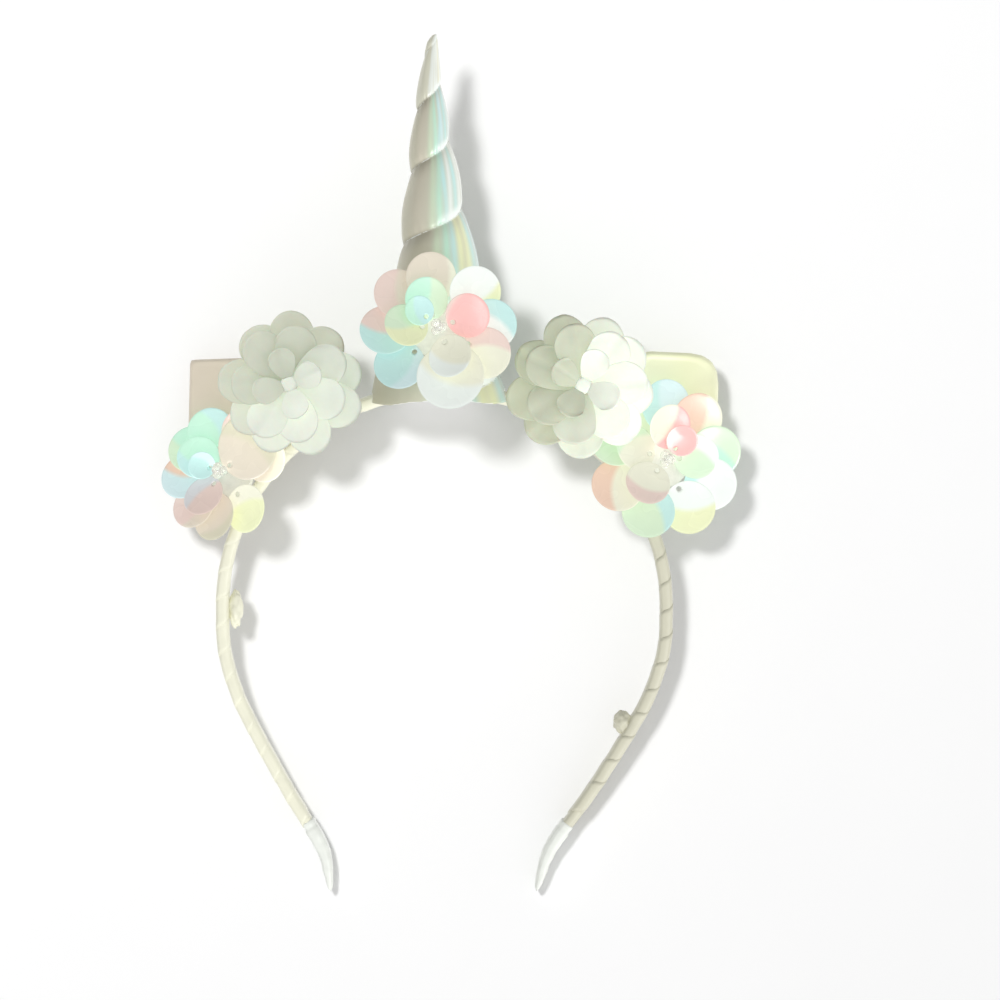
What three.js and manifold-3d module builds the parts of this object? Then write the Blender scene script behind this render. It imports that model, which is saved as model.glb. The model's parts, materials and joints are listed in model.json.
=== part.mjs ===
// A child's unicorn horn headband, lying on its back as it would on a table: a ribbon-wrapped band bent to
// an open arch, a stuffed horn wound with a spiral groove, two flat ears, three flowers of overlapping
// sequins with clear beads at their centres and two flowers of cupped fabric petals.
//
// Millimetres and degrees. The pieces are modelled in the band's own frame: +X to the right as the
// wearer's front is seen, +Y up through the horn, +Z out of the front. A last turn lays the band down with
// its front uppermost.

import * as THREE from "three";
import { mergeVertices } from "three/addons/utils/BufferGeometryUtils.js";
import Module from "manifold-3d";

const wasm = await Module();
wasm.setup();

// Fit
const gap = 0.3; // between pieces that touch
const glueLine = 0.35; // between a flower's base and what it is glued to

// Band: half an ellipse over the crown and two limbs that draw in towards the tips
const bandHalfWidth = 66.8;
const bandCrownRise = 65.4;
const bandLimbDrop = 87;
const bandThickness = 3.9;
const bandDepth = 7;
const bandCorner = 1.4;
const bandLimbDrift = -3.4; // both tips have sprung a little to one side
const bandCoreShare = 0.6; // the band's end inside its cover, against the wrapped band
const crownSteps = 25; // odd, so that one flat lies square under the horn
const limbSteps = 13;
// Each row is a place on the limb: how far down it, and how far out as a share of the half width
const limbStations = [
  { down: 0.157, out: 0.99 },
  { down: 0.31, out: 0.93 },
  { down: 0.4, out: 0.873 },
  { down: 0.53, out: 0.778 },
  { down: 0.68, out: 0.66 },
  { down: 0.78, out: 0.572 },
  { down: 0.87, out: 0.508 },
  { down: 1, out: 0.468 },
];

// Covers: a fold of ribbon over each tip, with the band's end inside it
const coverLength = 23;
const coverSocket = 9;
const coverThickness = 5.2;
const coverDepth = 7.8;
const coverCorner = 0.36; // share of the cover's thickness
// Each row is a section of the cover: how far along it, and its two widths as shares of the full ones
const coverSections = [
  { along: 0, thick: 0.94, deep: 0.97 },
  { along: 0.12, thick: 1.03, deep: 1 },
  { along: 0.4, thick: 0.9, deep: 1 },
  { along: 0.65, thick: 0.78, deep: 0.98 },
  { along: 0.88, thick: 0.58, deep: 0.9 },
  { along: 1, thick: 0.3, deep: 0.6 },
];

// Horn: a stuffed cone wound round with a thread that pulls in a spiral groove
const hornHeight = 109;
const hornBaseRadius = 20.6;
const hornTipRadius = 1.3;
const hornFlare = 0.2; // share of its width that the horn gains only towards its foot
const hornBelowCrown = 3.2; // the skirt hangs past the top of the band, down to the band's own inner face
const hornLean = 0.5;
const hornShift = -1.4; // it is sewn on a little to one side
// The upper part is bent aside: how far, over which share of the height, and how near the tip it is bent most
const hornBow = { aside: -1.8, share: 0.65, lag: 0.55 };
const hornFirstTurn = 12.6;
const hornTurnGrowth = 1.5;
const hornGroove = 1.7;
const hornGrooveFade = 30; // the groove grows to its full depth over this length below the tip
// The cloth between two turns of the groove: how far it stands out, and the exponents of its swell
const hornPuff = { proud: 0.5, lag: 1.35, fullness: 0.55 };
const hornRound = 0.4; // flat on the tip's end
const hornFlowerHeight = 17.8; // of the middle flower's centre, above the horn's foot
const hornSides = 16;
const hornRings = 35;
const hornProud = 0.4; // the band stands this far out of the bottom of the horn

// Ears: a flat leaf with a square tip, glued to the outside of the band
const earLength = 44;
const earHalfWidth = 17;
const earBaseHalfWidth = 7;
const earThickness = 1.6;
const earShoulder = 5;
const earFootRadius = 2;
const earStandOff = 0.4; // of its foot from the band, besides the gap
// Each row is an ear: its length as a share of the full one, the radius of its tip as a share of its half
// width and how far it is set back from the band's front as a share of the band's depth
const ears = [
  { side: "left", at: 136.2, lean: 21, length: 0.91, tip: 0.07, setBack: 0.343 },
  { side: "right", at: 42.5, lean: 15, length: 1, tip: 0.53, setBack: 0.157 },
];

// Sequins: discs with a sewing hole on the side towards the flower's centre
const sequinSize = 16; // the largest disc, which the flowers' tables take shares of
const sequinThickness = 0.45;
const sequinHole = 1.3;
const sequinHoleInset = 1.7;
const sequinSides = 12;
const sequinBaseRadius = 8.4;
const sequinBaseThickness = 1.6;
const settleStep = 0.05;

// Beads
const beadDiameter = 3;
const beadRise = 5.4;
const beadStalk = 0.9;
const beadCount = 4;
const beadSides = 8;

// Fabric petals
const petalLength = 20.5; // the longest petal, which the flowers' tables take shares of
const petalThickness = 0.9;
const fabricBaseRadius = 8;
const fabricBaseThickness = 6.4;
const fabricHubRadius = 3;
const fabricHubThickness = 1.44;
const fabricHubSides = 7;
const petalInset = 2; // where a petal starts, out from the flower's axis
const fabricTabWidth = 9;
const fabricTabThickness = 1.6;
const fabricTabOverlap = 1.5; // the tab ends this far past the middle of the band

// Small lumps on the inside of the band, placed by how far down the limb they sit
const glueBead = { down: 1, length: 12, height: 4.4, width: 5 };
const ribbonKnot = { down: 36, length: 8, height: 4.6, width: 6.4 };
const lumpRings = 8;

const radians = THREE.MathUtils.degToRad;
const front = new THREE.Vector3(0, 0, 1);

const colours = {
  ribbon: { color: "#e9ead2", roughness: 0.55, metalness: 0 },
  whiteRibbon: { color: "#f3f6f2", roughness: 0.5, metalness: 0 },
  hologramCloth: { color: "#d9dccb", roughness: 0.25, metalness: 0.1 },
  earCloth: { color: "#dcd6bf", roughness: 0.35, metalness: 0 },
  felt: { color: "#eef0e4", roughness: 0.9, metalness: 0 },
  pearlFilm: { color: "#d4ecdc", roughness: 0.2, metalness: 0 },
  organza: { color: "#eaf3e2", roughness: 0.8, metalness: 0 },
  clearBead: { color: "#f4f4ee", roughness: 0.1, metalness: 0 },
  glue: { color: "#e6e6da", roughness: 0.35, metalness: 0 },
};

function materialOf(name) {
  return new THREE.MeshStandardMaterial({ name, ...colours[name] });
}

// Solids and booleans

function solidOf(geometry) {
  const bare = geometry.clone();
  bare.deleteAttribute("normal");
  bare.deleteAttribute("uv");
  const merged = mergeVertices(bare, 1e-4);
  return new wasm.Manifold(
    new wasm.Mesh({
      numProp: 3,
      vertProperties: new Float32Array(merged.attributes.position.array),
      triVerts: new Uint32Array(merged.index.array),
    }),
  );
}

function geometryOf(solid) {
  const { numProp, vertProperties, triVerts } = solid.getMesh();
  const positions = [];
  for (let i = 0; i < vertProperties.length; i += numProp) {
    positions.push(vertProperties[i], vertProperties[i + 1], vertProperties[i + 2]);
  }
  const geometry = new THREE.BufferGeometry();
  geometry.setAttribute("position", new THREE.Float32BufferAttribute(positions, 3));
  geometry.setIndex([...triVerts]);
  geometry.computeVertexNormals();
  return geometry;
}

function union(geometries) {
  return geometryOf(geometries.map(solidOf).reduce((whole, piece) => whole.add(piece)));
}

function cut(geometry, cutters) {
  return geometryOf(cutters.map(solidOf).reduce((whole, piece) => whole.subtract(piece), solidOf(geometry)));
}

function surface(points, faces) {
  const geometry = new THREE.BufferGeometry().setFromPoints(points);
  geometry.setIndex(faces);
  geometry.computeVertexNormals();
  return geometry;
}

// A closed skin over rings of points that run anticlockwise seen from the far end
function skin(rings) {
  const sides = rings[0].length;
  const last = (rings.length - 1) * sides;
  const faces = [];
  for (let ring = 0; ring < last; ring += sides) {
    for (let i = 0; i < sides; i++) {
      const a = ring + i;
      const b = ring + ((i + 1) % sides);
      faces.push(a, b, b + sides, a, b + sides, a + sides);
    }
  }
  for (let i = 1; i + 1 < sides; i++) {
    faces.push(0, i + 1, i, last, last + i, last + i + 1);
  }
  return surface(rings.flat(), faces);
}

// A thin wall between an upper and a lower grid of points, rows outwards along X and columns along Y
function wall(upper, lower) {
  const rows = upper.length;
  const columns = upper[0].length;
  const under = rows * columns;
  const faces = [];
  const quad = (a, b, c, d) => faces.push(a, b, c, a, c, d);
  const at = (row, column) => row * columns + column;
  for (let row = 0; row + 1 < rows; row++) {
    for (let column = 0; column + 1 < columns; column++) {
      const corners = [at(row, column), at(row + 1, column), at(row + 1, column + 1), at(row, column + 1)];
      quad(...corners);
      quad(...corners.reverse().map((corner) => corner + under));
    }
  }
  const rim = [];
  for (let row = 0; row < rows; row++) rim.push(at(row, 0));
  for (let column = 1; column < columns; column++) rim.push(at(rows - 1, column));
  for (let row = rows - 2; row >= 0; row--) rim.push(at(row, columns - 1));
  for (let column = columns - 2; column > 0; column--) rim.push(at(0, column));
  rim.forEach((a, i) => {
    const b = rim[(i + 1) % rim.length];
    quad(b, a, a + under, b + under);
  });
  return surface([...upper.flat(), ...lower.flat()], faces);
}

// The band's path, from the left tip over the crown to the right tip

function crownPoint(degrees) {
  const angle = radians(degrees);
  return new THREE.Vector3(bandHalfWidth * Math.cos(angle), bandCrownRise * Math.sin(angle), 0);
}

function crownOutward(degrees) {
  const angle = radians(degrees);
  return new THREE.Vector3(bandCrownRise * Math.cos(angle), bandHalfWidth * Math.sin(angle), 0).normalize();
}

function limbPoints(side) {
  const shoulder = crownPoint(side > 0 ? 0 : 180);
  const above = crownPoint(side > 0 ? 20 : 160);
  const below = limbStations.map(
    ({ down, out }) =>
      new THREE.Vector3(side * bandHalfWidth * out + bandLimbDrift * down ** 2, -bandLimbDrop * down, 0),
  );
  const curve = new THREE.CatmullRomCurve3([above, shoulder, ...below]);
  const start = 1 / (below.length + 1);
  const points = [];
  for (let i = 1; i <= limbSteps; i++) {
    points.push(curve.getPoint(start + ((1 - start) * i) / limbSteps));
  }
  return points;
}

const crown = [];
for (let i = 0; i <= crownSteps; i++) {
  crown.push(crownPoint(180 - (180 * i) / crownSteps));
}
const spine = [...limbPoints(-1).reverse(), ...crown, ...limbPoints(1)];

function travelled(points) {
  const lengths = [0];
  for (let i = 1; i < points.length; i++) {
    lengths.push(lengths[i - 1] + points[i].distanceTo(points[i - 1]));
  }
  return lengths;
}

const spineLengths = travelled(spine);
const spineLength = spineLengths[spineLengths.length - 1];

function spineAt(length) {
  const next = Math.max(1, spineLengths.findIndex((reached) => reached >= length - 1e-9));
  const share = (length - spineLengths[next - 1]) / (spineLengths[next] - spineLengths[next - 1]);
  return spine[next - 1].clone().lerp(spine[next], share);
}

function spineOutward(length) {
  const reach = 1.5;
  const ahead = spineAt(Math.min(length + reach, spineLength));
  const behind = spineAt(Math.max(length - reach, 0));
  const along = ahead.sub(behind).normalize();
  return new THREE.Vector3(-along.y, along.x, 0);
}

// A rounded rectangle as pairs of sizes, the first across the thickness and the second through the depth
function sectionOf(thickness, depth, corner) {
  const across = thickness / 2 - corner;
  const through = depth / 2 - corner;
  const pairs = [];
  for (const [x, y, start] of [
    [1, 1, 0],
    [-1, 1, 90],
    [-1, -1, 180],
    [1, -1, 270],
  ]) {
    for (const turn of [0, 90]) {
      const angle = radians(start + turn);
      pairs.push([x * across + corner * Math.cos(angle), y * through + corner * Math.sin(angle)]);
    }
  }
  return pairs;
}

// A section stood on the band's path at a length along it
function ringAt(length, section) {
  const centre = spineAt(length);
  const outward = spineOutward(length);
  return section.map(([across, through]) =>
    centre.clone().addScaledVector(outward, across).addScaledVector(front, through),
  );
}

function bandSection(share = 1, grown = 0) {
  const size = (full) => full * share + 2 * grown;
  return sectionOf(size(bandThickness), size(bandDepth), bandCorner * share + grown);
}

const bandEnd = coverLength - coverSocket; // the band stops this far short of the end of its cover
const bandShoulder = coverLength + gap;

function bandGeometry() {
  const inCover = [bandEnd, bandShoulder];
  const rings = inCover.map((length) => ringAt(length, bandSection(bandCoreShare)));
  rings.push(ringAt(bandShoulder, bandSection()));
  spineLengths
    .filter((length) => length > bandShoulder + 2 && length < spineLength - bandShoulder - 2)
    .forEach((length) => rings.push(ringAt(length, bandSection())));
  rings.push(ringAt(spineLength - bandShoulder, bandSection()));
  inCover.reverse().forEach((length) => {
    rings.push(ringAt(spineLength - length, bandSection(bandCoreShare)));
  });
  return skin(rings);
}

// The stretch of band that a piece is cut to clear, grown by the gap all round
function bandClearance(from, to, share = 1) {
  const rings = [ringAt(from, bandSection(share, gap))];
  spineLengths
    .filter((length) => length > from + 0.5 && length < to - 0.5)
    .forEach((length) => rings.push(ringAt(length, bandSection(share, gap))));
  rings.push(ringAt(to, bandSection(share, gap)));
  return skin(rings);
}

function coverGeometry(side) {
  const place = (length) => (side < 0 ? length : spineLength - length);
  const rings = coverSections.map(({ along, thick, deep }) => {
    const thickness = coverThickness * thick;
    const section = sectionOf(thickness, coverDepth * deep, thickness * coverCorner);
    return ringAt(place(coverLength * (1 - along)), section);
  });
  const run = [place(bandEnd - gap), place(coverLength + 1)].sort((a, b) => a - b);
  const socket = bandClearance(...run, bandCoreShare);
  return cut(skin(side < 0 ? rings.reverse() : rings), [socket]);
}

// Horn

const hornFoot = bandCrownRise - hornBelowCrown; // height of the horn's base above the crown's centre

function hornTurnsAt(fromTip) {
  const first = hornFirstTurn;
  return (-first + Math.sqrt(first ** 2 + 4 * hornTurnGrowth * fromTip)) / (2 * hornTurnGrowth);
}

function hornRadiusAt(fromTip) {
  const share = fromTip / hornHeight;
  const cone = hornTipRadius + (hornBaseRadius - hornTipRadius) * (share - hornFlare * (share - share ** 3));
  return cone * Math.sqrt(Math.min(1, (fromTip + hornRound) / (2 * hornTipRadius)));
}

// How far the cloth lies inside the plain cone: most at the groove, and least, standing out of the cone,
// just above the next turn
function grooveAt(fromTip, angle) {
  const phase = hornTurnsAt(fromTip) - angle / (2 * Math.PI);
  const share = phase - Math.floor(phase);
  const swell = Math.sin(Math.PI * share ** hornPuff.lag) ** hornPuff.fullness;
  return (hornGroove * (1 - swell) - hornPuff.proud) * Math.min(1, fromTip / hornGrooveFade + 0.15);
}

function hornGeometry() {
  const rings = [];
  for (let i = 0; i <= hornRings; i++) {
    const fromTip = hornHeight * (1 - (i / hornRings) ** 0.9);
    const ring = [];
    for (let j = 0; j < hornSides; j++) {
      const angle = (2 * Math.PI * j) / hornSides;
      const radius = hornRadiusAt(fromTip) - grooveAt(fromTip, angle);
      const bent = Math.min(1, fromTip / (hornBow.share * hornHeight)) ** hornBow.lag;
      const aside = hornBow.aside * Math.sin(Math.PI * bent);
      const height = hornFoot + hornHeight - fromTip;
      ring.push(new THREE.Vector3(aside + radius * Math.cos(angle), height, radius * Math.sin(angle)));
    }
    rings.push(ring.reverse());
  }
  const horn = skin(rings);
  horn.translate(0, -hornFoot, 0);
  horn.rotateZ(radians(hornLean));
  horn.translate(hornShift, hornFoot, 0);
  return cut(horn, [hornChannel(), headClearance()]);
}

// The band passes through the foot of the horn in a channel that is open below
function hornChannel() {
  const middle = spineLength / 2;
  const reach = 1.4 * hornBaseRadius; // past the foot on both sides
  return bandClearance(middle - reach, middle + reach);
}

// The foot is hollowed to the curve of the head, so that the band's inner face stands just proud of it
function headClearance() {
  const inset = bandThickness / 2 - hornProud;
  const shape = new THREE.Shape();
  const points = [];
  for (let degrees = 60; degrees <= 120; degrees += 6) {
    const point = crownPoint(degrees).addScaledVector(crownOutward(degrees), -inset);
    points.push(new THREE.Vector2(point.x, point.y));
  }
  shape.setFromPoints([...points, new THREE.Vector2(-bandHalfWidth, 0), new THREE.Vector2(bandHalfWidth, 0)]);
  const block = new THREE.ExtrudeGeometry(shape, { depth: 3 * hornBaseRadius, bevelEnabled: false });
  return block.translate(0, 0, -1.5 * hornBaseRadius);
}

// Places on the band

// How far the band's section reaches from its middle towards a direction leaning back from the front
function bandReach(lean) {
  const [across, through] = [Math.sin(radians(lean)), Math.cos(radians(lean))];
  return Math.max(...bandSection().map(([a, t]) => a * across + t * through));
}

// A group on the outside of the crown, leaning back from the front, with its own XY plane to build flowers
// on
function seatOnBand({ at, lean, outset, standOff }) {
  const outward = crownOutward(at);
  const normal = front.clone().multiplyScalar(Math.cos(radians(lean)));
  normal.addScaledVector(outward, Math.sin(radians(lean)));
  const along = outward.clone().multiplyScalar(Math.cos(radians(lean)));
  along.addScaledVector(front, -Math.sin(radians(lean)));
  const seat = new THREE.Group();
  seat.position.copy(crownPoint(at));
  seat.position.addScaledVector(normal, bandReach(lean) + standOff).addScaledVector(along, outset);
  seat.quaternion.setFromUnitVectors(front, normal);
  return seat;
}

// Flowers of sequins

// Where each flower sits: how far round the crown, how far it leans back and how far out it stands as a
// share of a disc
const sequinFlowers = [
  { side: "centre" },
  { side: "left", at: 148, lean: 28, outset: 0.5375 },
  { side: "right", at: 34.5, lean: 16, outset: 0.719 },
];
// Each row is a ring of discs. Reach, size and height over the seat are shares of the largest disc. Lift
// is how steeply a disc rises outwards, twist turns it about its own arm to clear the next, and turns are
// its directions
const sequinRings = [
  { side: "centre", name: "outer", reach: 0.975, across: 0.95, rise: 0.194, lift: 5, twist: 11,
    turns: [5, 46, 98, 138, 181, 223, 333] },
  { side: "centre", name: "large", reach: 0.93, across: 1.25, rise: 0.3, lift: 8, twist: 4, turns: [284] },
  { side: "centre", name: "middle", reach: 0.5875, across: 0.825, rise: 0.369, lift: 16, twist: 13,
    turns: [23, 112, 178, 292] },
  { side: "centre", name: "inner", reach: 0.45, across: 0.55, rise: 0.5625, lift: 16, twist: 6,
    turns: [140] },
  { side: "left", name: "outer", reach: 0.85, across: 0.9125, rise: 0.194, lift: 4, twist: 12,
    turns: [18, 64, 114, 148, 184, 226, 260, 306] },
  { side: "left", name: "large", reach: 0.7, across: 1.25, rise: 0.3, lift: 5, twist: 4, turns: [42] },
  { side: "left", name: "middle", reach: 0.5625, across: 0.8125, rise: 0.369, lift: 14, twist: 13,
    turns: [151, 236] },
  { side: "left", name: "inner", reach: 0.4, across: 0.525, rise: 0.5625, lift: 16, twist: 6, turns: [165] },
  { side: "right", name: "outer", reach: 1.0125, across: 1, rise: 0.194, lift: 4, twist: 11,
    turns: [8, 48, 86, 158, 208, 252, 298, 333] },
  { side: "right", name: "middle", reach: 0.6, across: 0.85, rise: 0.3875, lift: 15, twist: 13,
    turns: [5, 86, 158, 228] },
  { side: "right", name: "inner", reach: 0.425, across: 0.6, rise: 0.594, lift: 18, twist: 6, turns: [52] },
];
const sequinHoleSides = 5;

function sequinGeometry(across) {
  const radius = across / 2;
  const shape = new THREE.Shape().absarc(0, 0, radius, 0, 2 * Math.PI, false);
  const hole = [];
  for (let i = 0; i < sequinHoleSides; i++) {
    const angle = (-2 * Math.PI * i) / sequinHoleSides;
    hole.push(
      new THREE.Vector2(
        sequinHoleInset - radius + (sequinHole / 2) * Math.cos(angle),
        (sequinHole / 2) * Math.sin(angle),
      ),
    );
  }
  shape.holes.push(new THREE.Path().setFromPoints(hole));
  const disc = new THREE.ExtrudeGeometry(shape, {
    depth: sequinThickness,
    curveSegments: sequinSides / 2,
    bevelEnabled: false,
  });
  return disc.translate(0, 0, -sequinThickness / 2);
}

function sequinMesh(name, ring, degrees) {
  const sequin = new THREE.Mesh(sequinGeometry(sequinSize * ring.across), materialOf("pearlFilm"));
  const turn = radians(degrees);
  const reach = sequinSize * ring.reach;
  sequin.name = name;
  sequin.position.set(reach * Math.cos(turn), reach * Math.sin(turn), sequinSize * ring.rise);
  sequin.rotation.set(radians(ring.twist), -radians(ring.lift), turn, "ZYX");
  return sequin;
}

function placedSolid(mesh) {
  mesh.updateMatrix();
  return solidOf(mesh.geometry.clone().applyMatrix4(mesh.matrix));
}

// Lowers a disc from its ring's height until it lies a gap above the pieces under it
function settle(disc, under) {
  const clears = () => {
    const solid = placedSolid(disc);
    return under.every((other) => solid.minGap(other, 2 * gap) >= gap);
  };
  while (!clears()) disc.position.z += settleStep;
  while (clears() && disc.position.z > 0) disc.position.z -= settleStep;
  disc.position.z += settleStep;
}

function baseMesh(name, radius, thickness) {
  const geometry = new THREE.CylinderGeometry(radius, radius, thickness, 20);
  geometry.rotateX(Math.PI / 2).translate(0, 0, thickness / 2);
  const base = new THREE.Mesh(geometry, materialOf("felt"));
  base.name = name;
  return base;
}

// A base with a tab that runs in over the band and is glued to it
function tabbedBaseMesh(name, at, outset) {
  const base = baseMesh(name, fabricBaseRadius, fabricBaseThickness);
  const tab = new THREE.BoxGeometry(outset + fabricTabOverlap, fabricTabWidth, fabricTabThickness);
  tab.translate(-(outset + fabricTabOverlap) / 2, 0, fabricTabThickness / 2).rotateZ(radians(at));
  base.geometry = union([base.geometry, tab]);
  return base;
}

// Clear beads round the flower's axis, on the stitching that comes up through the base
function beadsMesh(name) {
  const radius = beadDiameter / 2;
  const top = beadRise + sequinBaseThickness;
  const stalk = new THREE.CylinderGeometry(beadStalk / 2, beadStalk / 2, beadRise, 6);
  stalk.rotateX(Math.PI / 2).translate(0, 0, sequinBaseThickness + gap + beadRise / 2);
  const beads = [new THREE.SphereGeometry(radius, beadSides, beadSides / 2).translate(0, 0, top + radius)];
  for (let i = 1; i < beadCount; i++) {
    const angle = (2 * Math.PI * i) / (beadCount - 1);
    const bead = new THREE.SphereGeometry(radius, beadSides, beadSides / 2);
    beads.push(bead.translate(0.8 * radius * Math.cos(angle), 0.8 * radius * Math.sin(angle), top - 0.2));
  }
  const cluster = new THREE.Mesh(union([stalk, ...beads]), materialOf("clearBead"));
  cluster.name = name;
  return cluster;
}

function sequinFlower({ side }, seat) {
  seat.add(baseMesh(`${side}_sequin_base`, sequinBaseRadius, sequinBaseThickness));
  for (const ring of sequinRings.filter((row) => row.side === side)) {
    const under = seat.children.map(placedSolid);
    ring.turns.forEach((turn, i) => {
      const sequin = sequinMesh(`${side}_sequin_${ring.name}_${i + 1}`, ring, turn);
      settle(sequin, under);
      under.push(placedSolid(sequin));
      seat.add(sequin);
    });
  }
  seat.add(beadsMesh(`${side}_beads`));
  return seat;
}

// The middle flower lies against the front of the horn instead of on the band
function seatOnHorn() {
  const fromTip = hornHeight - hornFlowerHeight;
  const slope = Math.atan(((hornBaseRadius - hornTipRadius) * (1 + 2 * hornFlare)) / hornHeight);
  const normal = new THREE.Vector3(0, Math.sin(slope), Math.cos(slope));
  const seat = new THREE.Group();
  seat.position.set(hornShift, hornFoot + hornFlowerHeight, 0);
  const reach = (hornRadiusAt(fromTip) + hornPuff.proud) * Math.cos(slope);
  seat.position.addScaledVector(normal, reach + glueLine);
  seat.quaternion.setFromUnitVectors(front, normal);
  return seat;
}

// Flowers of fabric: each layer is one cut piece with its petals curled up

// Where each flower sits, with how far out it stands as a share of the longest petal
const fabricFlowers = [
  { side: "left", at: 123.5, lean: 8, outset: 0.683 },
  { side: "right", at: 59, lean: 8, outset: 0.561 },
];
// Each row is a layer. Length and height over the base are shares of the longest petal, and half width and
// cup are shares of the petal's own length. Flat and curl are its slopes at foot and end, and twist lays
// it over the next
const fabricLayers = [
  { side: "left", name: "outer", count: 9, first: 12, length: 0.97, rise: 0.02,
    halfWidth: 0.34, cup: -0.04, flat: 12, curl: -18, twist: 9 },
  { side: "left", name: "middle", count: 7, first: 30, length: 0.8, rise: 0.13,
    halfWidth: 0.38, cup: -0.04, flat: 26, curl: -8, twist: 9 },
  { side: "left", name: "inner", count: 4, first: 20, length: 0.48, rise: 0.24,
    halfWidth: 0.42, cup: 0.04, flat: 52, curl: 26, twist: 0 },
  { side: "right", name: "outer", count: 9, first: 30, length: 1, rise: 0.02,
    halfWidth: 0.34, cup: -0.04, flat: 12, curl: -18, twist: 9 },
  { side: "right", name: "middle", count: 7, first: 5, length: 0.83, rise: 0.13,
    halfWidth: 0.38, cup: -0.04, flat: 26, curl: -6, twist: 9 },
  { side: "right", name: "inner", count: 4, first: 60, length: 0.5, rise: 0.24,
    halfWidth: 0.42, cup: 0.04, flat: 52, curl: 28, twist: 0 },
];
const petalRows = [0, 0.45, 0.8, 1];
const petalColumns = [-1, -0.6, 0, 0.6, 1];
const petalShoulder = 0.6; // where a petal's round end begins, as a share of its length
const petalFoot = 0.3; // share of its width that a petal has at its foot
const petalSquareness = 0.98; // how nearly the round end meets the sides

// One petal along +X: its slope grows from flat at the hub to its curl at the tip, and its sides cup
// upwards
function petalGeometry({ length, halfWidth, flat, curl, cup }) {
  const full = petalLength * length;
  const start = radians(flat);
  const bend = (radians(curl) - start) / full;
  const point = (row, column, offset) => {
    const end = petalShoulder + (1 - petalShoulder) * Math.sqrt(1 - petalSquareness * column ** 2);
    const slope = start + bend * full * row * end;
    const off = offset + full * cup * column ** 2 * row;
    const spread = petalFoot + (1 - petalFoot) * Math.sin((row * Math.PI) / 2);
    return new THREE.Vector3(
      petalInset + (Math.sin(slope) - Math.sin(start)) / bend - off * Math.sin(slope),
      full * halfWidth * column * spread,
      (Math.cos(start) - Math.cos(slope)) / bend + off * Math.cos(slope),
    );
  };
  const grid = (offset) => petalRows.map((row) => petalColumns.map((column) => point(row, column, offset)));
  return wall(grid(petalThickness / 2), grid(-petalThickness / 2));
}

function fabricLayerMesh(name, layer) {
  const radius = fabricHubRadius;
  const hub = new THREE.CylinderGeometry(radius, radius, fabricHubThickness, fabricHubSides);
  hub.rotateX(Math.PI / 2);
  const petals = [];
  for (let i = 0; i < layer.count; i++) {
    const petal = petalGeometry(layer).rotateX(radians(layer.twist));
    petals.push(petal.rotateZ(radians(layer.first + (360 / layer.count) * i)));
  }
  const mesh = new THREE.Mesh(union([hub, ...petals]), materialOf("organza"));
  mesh.position.z = fabricBaseThickness + petalThickness + gap + petalLength * layer.rise;
  mesh.name = name;
  return mesh;
}

function fabricFlower({ side, at, outset }, seat) {
  seat.add(tabbedBaseMesh(`${side}_fabric_base`, at, petalLength * outset));
  for (const layer of fabricLayers.filter((row) => row.side === side)) {
    seat.add(fabricLayerMesh(`${side}_fabric_${layer.name}_petals`, layer));
  }
  return seat;
}

// Ears

// A rounded corner of an outline, as the points of an arc that leaves one side and joins the next
function roundedCorner(shape, before, corner, after, radius) {
  const inward = before.clone().sub(corner).normalize();
  const onward = after.clone().sub(corner).normalize();
  const halfAngle = inward.angleTo(onward) / 2;
  const back = radius / Math.tan(halfAngle);
  const start = corner.clone().addScaledVector(inward, back);
  const end = corner.clone().addScaledVector(onward, back);
  if (shape.currentPoint.lengthSq() === 0 && !shape.curves.length) shape.moveTo(start.x, start.y);
  else shape.lineTo(start.x, start.y);
  shape.quadraticCurveTo(corner.x, corner.y, end.x, end.y);
}

function earShape(length, tipRadius) {
  const corners = [
    { x: -earBaseHalfWidth, y: 0, radius: earFootRadius },
    { x: earBaseHalfWidth, y: 0, radius: earFootRadius },
    { x: earHalfWidth, y: length - earHalfWidth, radius: earShoulder },
    { x: 0, y: length, radius: tipRadius },
    { x: -earHalfWidth, y: length - earHalfWidth, radius: earShoulder },
  ];
  const points = corners.map(({ x, y }) => new THREE.Vector2(x, y));
  const shape = new THREE.Shape();
  corners.forEach(({ radius }, i) => {
    const before = points[(i + corners.length - 1) % corners.length];
    roundedCorner(shape, before, points[i], points[(i + 1) % corners.length], radius);
  });
  shape.closePath();
  return shape;
}

function earSeat({ side, at, lean, length, tip, setBack }) {
  const outset = bandThickness / 2 + gap + earStandOff;
  const seat = seatOnBand({ at, lean, outset, standOff: -bandDepth * setBack - earThickness });
  const geometry = new THREE.ExtrudeGeometry(earShape(earLength * length, earHalfWidth * tip), {
    depth: earThickness,
    curveSegments: 4,
    bevelEnabled: false,
  });
  geometry.rotateZ(radians(at - 90));
  const ear = new THREE.Mesh(geometry, materialOf("earCloth"));
  ear.name = `ear_${side}`;
  seat.add(ear);
  return seat;
}

// Lumps on the inside of the band

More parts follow.
